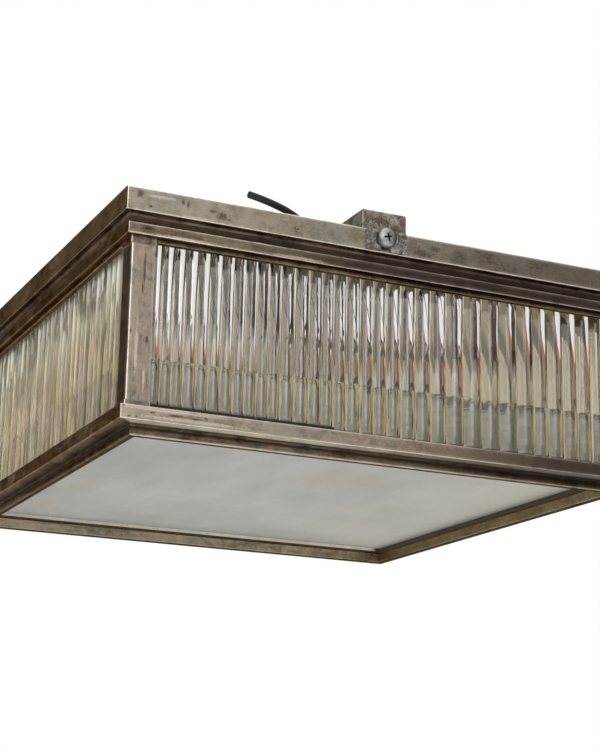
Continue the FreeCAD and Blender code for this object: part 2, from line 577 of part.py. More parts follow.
earth_nut = hexagon(7.0, CEIL - BAR_T - 3.2, CEIL - BAR_T, BAR_X, -50, 2.0)
save("earth_screw", earth)
save("earth_nut", earth_nut)


def route_wire(points):
    """Straight runs joined by tangent arcs; returns the wire, its length and its radii."""
    pts = [V(*p) for p in points]
    runs = [(b - a).Length for a, b in zip(pts, pts[1:])]
    edges, radii, length = [], [], 0.0
    last = pts[0]
    for i in range(1, len(pts) - 1):
        d1 = pts[i] - pts[i - 1]
        d2 = pts[i + 1] - pts[i]
        d1.normalize()
        d2.normalize()
        turn = d1.getAngle(d2)
        back = 0.45 * min(runs[i - 1], runs[i])
        r = back / math.tan(turn / 2)
        radii.append(r)
        s, e = pts[i] - d1 * back, pts[i] + d2 * back
        inward = d2 - d1
        inward.normalize()
        m = pts[i] + inward * (r / math.cos(turn / 2) - r)
        edges.append(Part.LineSegment(last, s).toShape())
        edges.append(Part.Arc(s, m, e).toShape())
        length += (s - last).Length + r * turn
        last = e
    edges.append(Part.LineSegment(last, pts[-1]).toShape())
    length += (pts[-1] - last).Length
    return Part.Wire(edges), length, radii


def tube(points, d, label):
    w, length, radii = route_wire(points)
    start = V(*points[0])
    direction = V(*points[1]) - start
    ring = Part.Wire(Part.Circle(start, direction, d / 2).toShape())
    s = w.makePipeShell([ring], True, True)
    if not s.isValid() or s.Volume <= 0:
        s = Part.makeSolid(s)
    print("%s: length %.1f, radii %s, volume %.1f against %.1f" % (label, length, [round(r, 1) for r in radii], s.Volume, math.pi * d * d / 4 * length))
    return s


WIRE_Z = 129.0
wires = []
for sy, sx, y_at in ((-1, -1, 34.0), (-1, 1, 34.0), (1, -1, 62.0), (1, 1, 62.0)):
    if sy < 0:
        pts = [(BAR_X + sx * 4.5, y_at, WIRE_Z), (BAR_X + sx * 4.5, y_at - 16, WIRE_Z), (sx * 22 + BAR_X / 2, -8, WIRE_Z - 1.5), (sx * 42, -38, WIRE_Z + 2), (sx * 66, -58, 137.6), (sx * 79.0, -76.0, 138.6), (sx * 80.0, -80.0, 131.0)]
    else:
        pts = [(BAR_X + sx * 9.0, 56.0, 127.0), (BAR_X + sx * 19.0, 56.0, 127.0), (sx * 44.0, 60.0, 133.0), (sx * 62.0, 70.0, 138.0), (sx * 76.0, 78.5, 138.6), (sx * 80.0, 80.0, 131.0)]
    wires.append(tube(pts, 2.6, "lamp wire"))
save("lamp_wires", group(wires))

# supply lead: from its gland beside the terminal block, over the front lamp strap and out above the front rail, cut off there
LEAD = [(-26.8, 44.0, 128.3), (-44.0, 44.0, 128.3), (-58.0, 34.0, 129.6), (-63.0, 14.0, 131.4), (-60.0, -12.0, 133.6), (-50.0, -50.0, 137.8), (-40.0, -92.0, 139.0),
        (-42.0, -134.0, 139.6), (-74.0, -162.5, 139.3), (-97.8, -169.3, 139.8)]
lead = tube(LEAD, LEAD_D, "supply lead")
save("supply_lead", lead)
gland = Part.makeCone(3.4, 2.6, 6.0, V(BAR_X - 9.0, 44.0, 128.3), V(-1, 0, 0))
save("lead_gland", gland)

bb = Part.makeCompound(list(made.values())).BoundBox
print("nodes", len(made), "box", [round(v, 2) for v in (bb.XMin, bb.XMax, bb.YMin, bb.YMax, bb.ZMin, bb.ZMax)])
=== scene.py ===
import math

import bmesh
import bpy
from mathutils import Matrix, Vector, noise


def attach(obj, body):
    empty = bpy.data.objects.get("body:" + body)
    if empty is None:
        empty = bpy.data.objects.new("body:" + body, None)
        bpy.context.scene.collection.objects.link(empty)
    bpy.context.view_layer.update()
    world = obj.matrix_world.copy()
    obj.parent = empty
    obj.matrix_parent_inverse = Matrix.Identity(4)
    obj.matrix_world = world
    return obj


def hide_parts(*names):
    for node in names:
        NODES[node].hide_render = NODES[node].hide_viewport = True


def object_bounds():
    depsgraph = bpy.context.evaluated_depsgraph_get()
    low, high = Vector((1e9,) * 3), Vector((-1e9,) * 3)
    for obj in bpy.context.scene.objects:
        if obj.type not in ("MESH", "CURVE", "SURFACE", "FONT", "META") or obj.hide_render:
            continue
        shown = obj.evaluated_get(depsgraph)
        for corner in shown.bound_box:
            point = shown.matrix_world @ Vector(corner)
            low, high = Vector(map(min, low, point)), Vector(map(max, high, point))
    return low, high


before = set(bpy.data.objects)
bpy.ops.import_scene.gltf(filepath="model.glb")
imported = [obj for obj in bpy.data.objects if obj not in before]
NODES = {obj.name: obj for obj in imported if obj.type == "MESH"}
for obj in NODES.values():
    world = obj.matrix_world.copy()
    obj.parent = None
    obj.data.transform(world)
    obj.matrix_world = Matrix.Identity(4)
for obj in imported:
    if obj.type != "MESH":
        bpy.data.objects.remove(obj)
CAD_LO, CAD_HI = [v.copy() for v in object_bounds()]
SCENE = bpy.context.scene

# ---------------------------------------------------------------------------
# Body coordinates are millimetres about the frame's middle, z above the lower
# band's lower edge; the part's frame has its origin on top of the crossbar.
# ---------------------------------------------------------------------------
BAR_X = -11.8
TOP = 143.2
HALF = 170.0


def P(x, y, z):
    return Vector(((x - BAR_X) / 1000.0, y / 1000.0, (z - TOP) / 1000.0))


def link(o):
    SCENE.collection.objects.link(o)
    return o


# ---------------------------------------------------------------------------
# camera
# ---------------------------------------------------------------------------
cam_data = bpy.data.cameras.new("camera")
cam = link(bpy.data.objects.new("camera", cam_data))
cam_data.sensor_fit = "AUTO"
cam_data.sensor_width = 36.0
cam_data.lens = 83.568
cam_data.clip_start, cam_data.clip_end = 0.05, 60.0
right = Vector((0.90594604, -0.42301414, 0.01791109)).normalized()
fwd = Vector((0.40394262, 0.87622822, 0.26278216)).normalized()
up = right.cross(fwd).normalized()
rot = Matrix((right, up, -fwd)).transposed()
cam.matrix_world = Matrix.Translation(P(-461.63, -1032.50, -221.81)) @ rot.to_4x4()
SCENE.camera = cam

# ---------------------------------------------------------------------------
# supply lead
# ---------------------------------------------------------------------------
LEAD_D = 0.0042
LEAD = [(-26.8, 44.0, 128.3), (-44.0, 44.0, 128.3), (-58.0, 34.0, 129.6), (-63.0, 14.0, 131.4), (-60.0, -12.0, 133.6), (-50.0, -50.0, 137.8), (-40.0, -92.0, 139.0),
        (-42.0, -134.0, 139.6), (-74.0, -162.5, 139.3), (-97.8, -169.3, 139.8)]
lead_curve = bpy.data.curves.new("lead", "CURVE")
lead_curve.dimensions = "3D"
sp = lead_curve.splines.new("NURBS")
sp.points.add(len(LEAD) - 1)
for pt, q in zip(sp.points, LEAD):
    pt.co = (*P(*q), 1.0)
    pt.radius = LEAD_D / 2
sp.order_u = 3
sp.use_endpoint_u = True
sp.resolution_u = 16
lead_curve.bevel_depth = 1.0
lead_curve.bevel_resolution = 7
lead_curve.use_fill_caps = True
lead = link(bpy.data.objects.new("lead", lead_curve))
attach(lead, "lantern")
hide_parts("supply_lead")


# ---------------------------------------------------------------------------
# material helpers
# ---------------------------------------------------------------------------
class Tree:
    def __init__(self, name):
        self.mat = bpy.data.materials.new(name)
        self.mat.use_nodes = True
        self.nt = self.mat.node_tree
        self.nt.nodes.clear()
        self.out = self.nt.nodes.new("ShaderNodeOutputMaterial")
        self.co = self.nt.nodes.new("ShaderNodeTexCoord").outputs["Object"]
        self.mm = self.vec("SCALE", self.co, scale=1000.0)

    def put(self, socket, value):
        if isinstance(value, bpy.types.NodeSocket):
            self.nt.links.new(value, socket)
        elif value is not None:
            if hasattr(socket.default_value, "__len__") and not hasattr(value, "__len__"):
                value = (value,) * len(socket.default_value)
            if hasattr(value, "__len__") and len(value) == 3 and len(socket.default_value) == 4:
                value = (*value, 1.0)
            socket.default_value = value

    def math(self, op, a, b=None, c=None, clamp=False):
        n = self.nt.nodes.new("ShaderNodeMath")
        n.operation = op
        n.use_clamp = clamp
        for i, v in enumerate((a, b, c)):
            if v is not None:
                self.put(n.inputs[i], v)
        return n.outputs[0]

    def vec(self, op, a, b=None, scale=None):
        n = self.nt.nodes.new("ShaderNodeVectorMath")
        n.operation = op
        self.put(n.inputs[0], a)
        if b is not None:
            self.put(n.inputs[1], b)
        if scale is not None:
            n.inputs["Scale"].default_value = scale
        return n.outputs["Value"] if op in ("DOT_PRODUCT", "LENGTH", "DISTANCE") else n.outputs[0]

    def noise(self, vec, scale, detail=4.0, rough=0.55, distortion=0.0, stretch=None, offset=None):
        if stretch is not None:
            vec = self.vec("MULTIPLY", vec, stretch)
        if offset is not None:
            vec = self.vec("ADD", vec, offset)
        n = self.nt.nodes.new("ShaderNodeTexNoise")
        n.inputs["Scale"].default_value = scale
        n.inputs["Detail"].default_value = detail
        n.inputs["Roughness"].default_value = rough
        n.inputs["Distortion"].default_value = distortion
        self.put(n.inputs["Vector"], vec)
        return n.outputs["Fac"] if "Fac" in n.outputs else n.outputs[0]

    def voronoi(self, vec, scale, feature="F1", randomness=1.0, stretch=None):
        if stretch is not None:
            vec = self.vec("MULTIPLY", vec, stretch)
        n = self.nt.nodes.new("ShaderNodeTexVoronoi")
        n.feature = feature
        n.inputs["Scale"].default_value = scale
        n.inputs["Randomness"].default_value = randomness
        self.put(n.inputs["Vector"], vec)
        return n.outputs["Distance"]

    def range(self, v, a, b, c=0.0, d=1.0, smooth=True):
        n = self.nt.nodes.new("ShaderNodeMapRange")
        n.interpolation_type = "SMOOTHSTEP" if smooth else "LINEAR"
        self.put(n.inputs[0], v)
        for i, x in enumerate((a, b, c, d)):
            self.put(n.inputs[i + 1], x)
        return n.outputs[0]

    def mix(self, fac, a, b, blend="MIX"):
        n = self.nt.nodes.new("ShaderNodeMix")
        n.data_type = "RGBA"
        n.blend_type = blend
        n.clamp_factor = True
        self.put(n.inputs[0], fac)
        self.put(n.inputs[6], a)
        self.put(n.inputs[7], b)
        return n.outputs[2]

    def ramp(self, fac, stops):
        n = self.nt.nodes.new("ShaderNodeValToRGB")
        e = n.color_ramp.elements
        while len(e) < len(stops):
            e.new(0.5)
        for el, (pos, col) in zip(e, stops):
            el.position = pos
            el.color = (*col, 1.0) if len(col) == 3 else col
        self.put(n.inputs[0], fac)
        return n.outputs[0]

    def attr(self, name):
        n = self.nt.nodes.new("ShaderNodeAttribute")
        n.attribute_name = name
        return n.outputs["Fac"]

    def xyz(self, vec):
        n = self.nt.nodes.new("ShaderNodeSeparateXYZ")
        self.put(n.inputs[0], vec)
        return n.outputs

    def bump(self, height, strength, distance, normal=None):
        n = self.nt.nodes.new("ShaderNodeBump")
        n.inputs["Strength"].default_value = strength
        n.inputs["Distance"].default_value = distance
        self.put(n.inputs["Height"], height)
        if normal is not None:
            self.put(n.inputs["Normal"], normal)
        return n.outputs[0]

    def spot(self, centre, size, edge=0.35, wobble=None):
        """1 inside an ellipsoid of these half sizes in millimetres about a body point, 0 outside, with a ragged edge."""
        c = P(*centre) * 1000.0
        v = self.vec("SUBTRACT", self.mm, tuple(c))
        v = self.vec("MULTIPLY", v, tuple(1.0 / s for s in size))
        d = self.vec("LENGTH", v)
        if wobble is not None:
            d = self.math("ADD", d, wobble)
        return self.range(d, 1.0 - edge, 1.0 + edge, 1.0, 0.0)

    def most(self, values):
        out = values[0]
        for v in values[1:]:
            out = self.math("MAXIMUM", out, v)
        return out

    def principled(self, **kw):
        n = self.nt.nodes.new("ShaderNodeBsdfPrincipled")
        for k, v in kw.items():
            self.put(n.inputs[k.replace("_", " ")], v)
        self.nt.links.new(n.outputs[0], self.out.inputs[0])
        return n


def aged_metal(name, light, mid, dark, brown=(0.16, 0.105, 0.065), edge=(0.80, 0.71, 0.62), patina=0.5, stain=0.35, pits=0.5, seed=0.0, rough=0.36,
               axis=(1.0, 1.0, 1.0), spots=(), pale=(), extra_brown=(), fade=None, side_faces_shaded_brown=False, dull=0.0):
    """Worn plated metal: mottled patina, brown stains, dark pits, fine scratches and rubbed bright edges."""
    t = Tree(name)
    off = (seed * 17.3, seed * -9.1, seed * 5.7)
    v = t.mm
    big = t.noise(v, 0.028, 4.0, 0.6, 0.4, offset=off)
    midn = t.noise(v, 0.14, 6.0, 0.65, 0.6, offset=off)
    fine = t.noise(v, 0.85, 6.0, 0.66, offset=off)
    grain = t.noise(v, 3.2, 3.0, 0.6)
    brushed = t.noise(v, 1.3, 5.0, 0.65, stretch=axis, offset=off)
    wear = t.attr("wear")
    dirt_and_shade = t.attr("dirt_and_shade")

    tone = t.math("ADD", t.math("MULTIPLY", big, 0.30), t.math("MULTIPLY", midn, 0.32))
    tone = t.math("ADD", tone, t.math("MULTIPLY", brushed, 0.24))
    tone = t.math("ADD", tone, t.math("MULTIPLY", fine, 0.14))
    shift = 0.5 - (patina - 0.5) * 0.10
    tone = t.range(tone, shift - 0.080, shift + 0.068, smooth=False)
    base = t.ramp(tone, [(0.0, dark), (0.38, mid), (1.0, light)])
    green = t.range(t.noise(v, 0.05, 4.0, 0.6, offset=(off[0] - 20.0, off[1], off[2] + 4.0)), 0.48, 0.66, 0.0, 0.55)
    base = t.mix(green, base, t.ramp(tone, [(0.0, (dark[0] * 0.8, dark[0] * 0.8, dark[0] * 0.72)), (1.0, (light[1] * 0.80, light[1] * 0.83, light[1] * 0.74))]))
    base = t.mix(t.range(grain, 0.35, 0.65, 0.22, 0.0), base, tuple(0.45 * c for c in mid))

    # brown stains that follow the rail
    st = t.noise(v, 0.055, 6.0, 0.66, 1.2, stretch=tuple(0.35 if a < 1 else 1.0 for a in axis), offset=(off[0] + 31.0, off[1], off[2] + 8.0))
    st = t.range(st, 0.62 - stain * 0.2, 0.74 - stain * 0.2)
    st = t.math("MULTIPLY", st, t.range(fine, 0.30, 0.55, 0.45, 1.0))
    if extra_brown:
        ragged = t.math("MULTIPLY", t.math("SUBTRACT", t.math("ADD", t.math("MULTIPLY", midn, 0.5), t.math("MULTIPLY", fine, 0.5)), 0.5), 4.5)
        st = t.math("MAXIMUM", st, t.math("MULTIPLY", t.most([t.spot(c, s, 0.5, ragged) for c, s in extra_brown]), 0.8))
    base = t.mix(t.math("MULTIPLY", st, 0.62), base, brown)

    # the colour gets darker towards one end
    if fade:
        x = t.math("ADD", t.xyz(v)[0], t.math("MULTIPLY", t.math("SUBTRACT", midn, 0.5), 90.0))
        f = t.range(x, fade[0][0] - BAR_X, fade[0][1] - BAR_X, 0.0, fade[1])
        base = t.mix(f, base, tuple(0.62 * c for c in dark))

    # faces that look along X are painted browner and darker: partly patina, partly painted shade on the side faces
    if side_faces_shaded_brown:
        g = t.nt.nodes.new("ShaderNodeNewGeometry")
        side = t.range(t.math("ABSOLUTE", t.xyz(g.outputs["True Normal"])[0]), 0.5, 0.9)
        base = t.mix(t.math("MULTIPLY", side, 0.85), base, t.ramp(midn, [(0.35, (0.085, 0.062, 0.045)), (0.65, (0.22, 0.17, 0.125))]))

    # rubbed light patches
    if pale:
        ragged = t.math("MULTIPLY", t.math("SUBTRACT", fine, 0.5), 3.5)
        base = t.mix(t.math("MULTIPLY", t.most([t.spot(c, s, 0.45, ragged) for c, s in pale]), 0.75), base, edge)

    # pits: small dark specks in loose groups
    group = t.range(t.noise(v, 0.05, 3.0, 0.5, offset=(off[0] + 3.0, off[1] + 9.0, off[2])), 0.60 - pits * 0.14, 0.72 - pits * 0.1)
    cell = t.voronoi(t.vec("ADD", v, off), 0.42)
    warp = t.math("MULTIPLY", t.math("SUBTRACT", fine, 0.5), 0.5)
    pit = t.math("MULTIPLY", t.range(t.math("ADD", cell, warp), 0.10, 0.24, 1.0, 0.0), group)
    speck = t.math("MULTIPLY", t.range(t.noise(v, 1.7, 2.0, 0.5, offset=off), 0.70, 0.78), 0.6)
    pit = t.math("MAXIMUM", pit, speck)
    if spots:
        ragged = t.math("MULTIPLY", t.math("SUBTRACT", t.noise(v, 1.5, 6.0, 0.8), 0.50), 5.5)
        pit = t.math("MAXIMUM", pit, t.math("MULTIPLY", t.most([t.spot(c, s, 0.35, ragged) for c, s in spots]), 0.92))
    base = t.mix(t.math("MULTIPLY", pit, 0.86), base, tuple(0.30 * c for c in dark))

    # grime and painted shade in inner corners and recesses
    dirt_and_shade_amount = t.math("MULTIPLY", dirt_and_shade, t.range(midn, 0.25, 0.6, 0.7, 1.0))
    base = t.mix(t.math("MULTIPLY", dirt_and_shade_amount, 0.88), base, (0.030, 0.022, 0.015))

    # rubbed edges, broken up, duller where the colour darkens towards that end
    if fade:
        wear = t.math("MULTIPLY", wear, t.math("SUBTRACT", 1.0, t.math("MULTIPLY", f, 0.62)))
    rub = t.math("MULTIPLY", wear, t.range(t.noise(v, 0.11, 5.0, 0.65, offset=(off[0], off[1] + 50.0, off[2])), 0.30, 0.52, 0.35, 1.0))
    rub = t.math("MULTIPLY", rub, t.range(grain, 0.2, 0.5, 0.75, 1.0))
    base = t.mix(t.math("MULTIPLY", rub, 0.95), base, tuple(min(1.0, 1.15 * c) for c in edge))

    r = t.math("ADD", rough, t.math("MULTIPLY", t.math("SUBTRACT", midn, 0.5), 0.30))
    r = t.math("ADD", r, t.math("MULTIPLY", dirt_and_shade_amount, 0.25))
    r = t.math("ADD", r, t.math("MULTIPLY", st, 0.12))
    r = t.math("SUBTRACT", r, t.math("MULTIPLY", rub, 0.10))
    r = t.math("ADD", r, t.math("MULTIPLY", pit, 0.25), clamp=True)
    metal = t.math("SUBTRACT", 1.0, t.most([t.math("MULTIPLY", pit, 0.7), t.math("MULTIPLY", dirt_and_shade_amount, 0.8), t.math("MULTIPLY", st, 0.25)]))
    if dull:
        metal = t.math("MULTIPLY", metal, 1.0 - dull)
    h = t.math("ADD", t.math("MULTIPLY", brushed, 0.10), t.math("MULTIPLY", grain, 0.10))
    h = t.math("ADD", h, t.math("MULTIPLY", fine, 0.28))
    h = t.math("SUBTRACT", h, t.math("MULTIPLY", pit, 0.9))
    nrm = t.bump(h, 0.5, 0.00022)
    b = t.principled(Base_Color=base, Roughness=r, Metallic=metal, Normal=nrm)
    b.inputs["Specular IOR Level"].default_value = 0.4
    b.inputs["Specular Tint"].default_value = (0.60, 0.46, 0.33, 1.0)
    return t.mat


# ---------------------------------------------------------------------------
# mesh helpers
# ---------------------------------------------------------------------------
def make(name, verts, faces, mats, smooth=True, attrs=None, face_mats=None, body="lantern", sharp=0.6):
    me = bpy.data.meshes.new(name)
    me.from_pydata(verts, [], faces)
    me.update()
    if attrs:
        for k, vals in attrs.items():
            a = me.attributes.new(k, "FLOAT", "POINT")
            a.data.foreach_set("value", vals)
    for m in mats:
        me.materials.append(m)
    if face_mats:
        me.polygons.foreach_set("material_index", face_mats)
    bm = bmesh.new()
    bm.from_mesh(me)
    bmesh.ops.recalc_face_normals(bm, faces=bm.faces)
    for f in bm.faces:
        f.smooth = smooth
    if smooth and sharp:
        for e in bm.edges:
            if len(e.link_faces) == 2 and e.calc_face_angle(0.0) > sharp:
                e.smooth = False
    bm.to_mesh(me)
    bm.free()
    me.update()
    o = link(bpy.data.objects.new(name, me))
    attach(o, body)
    return o


def section(points, step=1.4):
    """Closed section in (u, z).  A point is (u, z, r, kind, mat): r rounds the corner, kind is w for a rubbed corner, c
    for an inner one darkened by grime and painted shade, mat the material of the stretch after it.  Gives a dense list
    of (u, z, wear, dirt_and_shade, mat)."""
    n = len(points)
    pts = []
    for i in range(n):
        a, b, c = points[i - 1], points[i], points[(i + 1) % n]
        r = b[2] if len(b) > 2 else 0.0
        kind = b[3] if len(b) > 3 else ""
        mat = b[4] if len(b) > 4 else 0
        pb = Vector((b[0], b[1]))
        if r > 0:
            v1 = (Vector((a[0], a[1])) - pb).normalized()
            v2 = (Vector((c[0], c[1])) - pb).normalized()
            half = v1.angle(v2) / 2.0
            d = r / math.tan(half)
            s, e = pb + v1 * d, pb + v2 * d
            ctr = pb + (v1 + v2).normalized() * (r / math.sin(half))
            a0 = math.atan2(s.y - ctr.y, s.x - ctr.x)
            a1 = math.atan2(e.y - ctr.y, e.x - ctr.x)
            da = (a1 - a0 + math.pi) % (2 * math.pi) - math.pi
            k = 5
            for j in range(k + 1):
                ang = a0 + da * j / k
                pts.append((ctr.x + r * math.cos(ang), ctr.y + r * math.sin(ang), kind, mat, True))
        else:
            pts.append((b[0], b[1], kind, mat, True))
    out = []
    m = len(pts)
    for i in range(m):
        p, q = pts[i], pts[(i + 1) % m]
        length = math.hypot(q[0] - p[0], q[1] - p[1])
        out.append((p[0], p[1], 1.0 if p[2] == "w" else 0.0, 1.0 if p[2] == "c" else 0.0, p[3]))
        cuts = []
        if length > 0.9:
            near = 0.45
            inner = [near, length - near] if length > 1.6 else [length / 2]
            if length > 2.2:
                k = max(1, int(round((length - 2 * near) / step)))
                inner = [near + (length - 2 * near) * j / k for j in range(k + 1)]
            cuts = inner
        for s in cuts:
            f = s / length
            w = d = 0.0
            if p[2] == "w":
                w = max(w, max(0.0, 1.0 - s / 0.55) * 0.8)
            if q[2] == "w":
                w = max(w, max(0.0, 1.0 - (length - s) / 0.55) * 0.8)
            # d: how much an inner corner is darkened, by grime and painted shade
            if p[2] == "c":
                d = max(d, max(0.0, 1.0 - s / 1.6))
            if q[2] == "c":
                d = max(d, max(0.0, 1.0 - (length - s) / 1.6))
            out.append((p[0] + (q[0] - p[0]) * f, p[1] + (q[1] - p[1]) * f, w, d, p[3]))
    return out


def turn(x, y, k):
    """A front-side point turned to side k: 0 front, 1 right, 2 back, 3 left."""
    for _ in range(k):
        x, y = -y, x
    return x, y


def wave(x, y, z, amp=0.10, scale=0.035, seed=0.0):
    """A small inward dent, 0 to amp, from smooth noise."""
    n = noise.noise(Vector((x * scale + seed, y * scale, z * scale * 1.6)))
    m = noise.noise(Vector((x * scale * 4 + seed, y * scale * 4, z * scale * 5)))
    return amp * (0.5 + 0.5 * n) + amp * 0.45 * (0.5 + 0.5 * m)


SIDES = ("front", "right", "back", "left")


def arc(a, b, c, n):
    """n + 1 points on the circle from a through b to c."""
    d = 2 * (a[0] * (b[1] - c[1]) + b[0] * (c[1] - a[1]) + c[0] * (a[1] - b[1]))
    sa, sb, sc = (q[0] * q[0] + q[1] * q[1] for q in (a, b, c))
    u = (sa * (b[1] - c[1]) + sb * (c[1] - a[1]) + sc * (a[1] - b[1])) / d
    v = (sa * (c[0] - b[0]) + sb * (a[0] - c[0]) + sc * (b[0] - a[0])) / d
    r = math.hypot(a[0] - u, a[1] - v)
    t0, tm, t1 = (math.atan2(q[1] - v, q[0] - u) for q in (a, b, c))
    span = (t1 - t0) % (2 * math.pi)
    if (tm - t0) % (2 * math.pi) > span:
        span -= 2 * math.pi
    return [(u + r * math.cos(t0 + span * j / n), v + r * math.sin(t0 + span * j / n)) for j in range(n + 1)]


def rail(kind, sec, u0, radius, mats, nodes, k, amp=0.10, rings=96, straight=None):
    """One mitred side swept from a section.  u0 and radius are the outermost offset and its corner's radius in plan."""
    verts, faces, wear, dirt_and_shade, fm = [], [], [], [], []
    arcs = 5
    pos = []
    ends = [j / arcs for j in range(arcs, 0, -1)] if straight is None else []
    for e in ends:
        pos.append(("a", -e))
    for j in range(rings + 1):
        pos.append(("m", j / rings))
    for e in reversed(ends):
        pos.append(("a", e))
    m = len(sec)
    # outward direction of the section at each point
    nrm = []
    area = sum(sec[i][0] * sec[(i + 1) % m][1] - sec[(i + 1) % m][0] * sec[i][1] for i in range(m))
    sgn = 1.0 if area > 0 else -1.0
    for i in range(m):
        a, b = sec[i - 1], sec[(i + 1) % m]
        t = Vector((b[0] - a[0], b[1] - a[1]))
        nn = Vector((t.y, -t.x)) * sgn
        nrm.append(nn.normalized() if nn.length > 1e-9 else Vector((0, 0)))
    for tag, q in pos:
        for i, (u, z, w, d, mt) in enumerate(sec):
            h = HALF - u
            R = radius
            rho = max(0.0, radius - (u - u0))
            if straight is not None:
                x, y, edge = straight * (2 * q - 1), -h, 0.0
            elif tag == "m":
                x = -(h - R) + 2 * (h - R) * q
                y = -h
                edge = 0.0
            else:
                s = abs(q)
                L = (R - rho) + rho * math.pi / 4
                at = s * L
                if at <= R - rho:
                    x, y = h - R + at, -h
                else:
                    th = (at - (R - rho)) / rho
                    x, y = (h - rho) + rho * math.sin(th), -(h - rho) - rho * math.cos(th)
                x = math.copysign(x, q)
                edge = s
            dent = wave(x + 400 * k, y, z, amp, seed=3.1 * k)
            zz = z - nrm[i].y * dent
            xx, yy = turn(x, y - nrm[i].x * dent, k)
            verts.append(P(xx, yy, zz))
            ew = edge * (1.0 if u < u0 + 1.2 else 0.0)
            wear.append(max(w, ew * 0.9))
            dirt_and_shade.append(d)
    R_ = len(pos)
    for j in range(R_ - 1):
        for i in range(m):
            i2 = (i + 1) % m
            faces.append((j * m + i, j * m + i2, (j + 1) * m + i2, (j + 1) * m + i))
            fm.append(sec[i][4])
    faces.append(tuple(range(m)))
    fm.append(0)
    faces.append(tuple((R_ - 1) * m + i for i in reversed(range(m))))
    fm.append(0)
    o = make(kind + "_" + SIDES[k], verts, faces, mats, attrs={"wear": wear, "dirt_and_shade": dirt_and_shade}, face_mats=fm, sharp=0.7)
    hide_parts(*nodes)
    return o


# ---------------------------------------------------------------------------
# metal finishes
# ---------------------------------------------------------------------------
ALONG = {0: (0.05, 1.0, 1.0), 1: (1.0, 0.05, 1.0), 2: (0.05, 1.0, 1.0), 3: (1.0, 0.05, 1.0)}
FRONT_TOP = dict(
    spots=[((-164.5, -172.5, 127.4), (1.6, 2, 2.2)), ((-139.0, -172.5, 126.6), (0.9, 2, 1.3)), ((-136.0, -172.5, 125.6), (0.8, 2, 1.8)),
           ((-121.0, -172.5, 124.4), (1.6, 2, 1.0)), ((-115.0, -172.5, 122.6), (2.8, 2, 2.0)), ((-111.0, -172.5, 121.0), (0.7, 2, 0.6)),
           ((-158.0, -172.5, 121.0), (0.8, 2, 0.7)), ((-84.0, -172.5, 130.0), (3.0, 2, 0.5)), ((14.0, -172.5, 121.0), (5.0, 2, 2.0)),
           ((22.0, -172.5, 125.5), (3.5, 2, 1.6))],
    pale=[((-152.0, -172.5, 127.3), (7.5, 2, 0.9)), ((-128.0, -172.5, 118.6), (9.0, 2, 0.7))],
    extra_brown=[((8.0, -172.5, 125.0), (5.5, 2, 5.0)), ((-30.5, -172.5, 127.0), (4.6, 2, 5.0)), ((120.0, -172.5, 124.0), (30.0, 2, 7.0)),
                 ((158.0, -172.5, 126.0), (16.0, 2, 8.0))])
FRONT_FILLET = dict(
    spots=[((-157.5, -170.0, 109.3), (2.3, 2, 0.9)), ((-120.0, -170.0, 110.6), (5.0, 2, 0.5)), ((-90.0, -170.0, 111.0), (6.0, 2, 0.6))],
    extra_brown=[((-150.0, -170.0, 107.0), (6.0, 2, 1.5)), ((-105.0, -170.0, 110.0), (18.0, 2, 1.3)), ((-60.0, -170.0, 109.5), (24.0, 2, 1.6))],
    pale=[((-134.0, -170.0, 106.0), (14.0, 2, 0.6)), ((-66.0, -170.0, 106.3), (14.0, 2, 0.8))])
FRONT_LOW = dict(
    spots=[((-151.0, -170.0, 4.4), (1.6, 2, 0.5)), ((-138.0, -170.0, 4.0), (4.0, 2, 0.55)), ((-126.5, -170.0, 3.4), (2.0, 2, 0.5)), ((-120.0, -170.0, 4.6), (1.2, 2, 0.7)),
           ((-164.5, -170.0, 1.0), (1.0, 2, 0.6)), ((-160.5, -170.0, 1.0), (0.6, 2, 0.7)), ((-168.0, -170.0, 6.6), (0.7, 2, 0.6))],
    extra_brown=[((-109.0, -170.0, 2.9), (8.0, 2, 0.9)), ((-92.0, -170.0, 2.2), (10.0, 2, 0.7)), ((60.0, -170.0, 3.0), (60.0, 2, 3.0)), ((140.0, -170.0, 3.0), (50.0, 2, 4.0))],
    pale=[((-140.0, -170.0, 6.0), (26.0, 2, 0.8)), ((-128.0, -170.0, 1.9), (28.0, 2, 0.9))])

def inside(name, a, b, dark, top_dark):
    t = Tree(name)
    n = t.noise(t.mm, 0.06, 5.0, 0.6, stretch=(1.0, 1.0, 0.35))
    f = t.noise(t.mm, 0.9, 4.0, 0.6)
    base = t.mix(t.range(f, 0.40, 0.75, 0.0, 0.7), t.ramp(n, [(0.35, a), (0.65, b)]), dark)
    z = t.xyz(t.mm)[2]
    if top_dark:
        base = t.mix(t.range(z, top_dark[0] - TOP, top_dark[1] - TOP, 0.0, 0.9), base, (0.03, 0.024, 0.018))
    t.principled(Base_Color=base, Roughness=t.range(n, 0.3, 0.7, 0.38, 0.55), Metallic=0.35, Normal=t.bump(f, 0.3, 0.0002))
    return t.mat


INSIDE_GREY = inside("inside_grey", (0.40, 0.405, 0.39), (0.56, 0.56, 0.53), (0.34, 0.32, 0.28), (124.0, 128.5))
INSIDE_GOLD = inside("inside_gold", (0.46, 0.37, 0.20), (0.66, 0.57, 0.36), (0.28, 0.20, 0.10), None)

LIGHT = (0.585, 0.515, 0.415)
MID = (0.42, 0.355, 0.27)
DARK = (0.155, 0.12, 0.088)
EDGE = (0.82, 0.73, 0.61)
# dark bronze for the rubbed edges of the sides and back: painted shade on edges that are bright on the front
SIDE_EDGE_IN_SHADE = (0.25, 0.195, 0.135)


def side_tone_and_shade(c, k):
    """The sides and back are browner and duller than the front: partly patina, partly painted shade where they are less
    lit.
    """
    return c if k == 0 else (c[0] * 0.80, c[1] * 0.70, c[2] * 0.575)


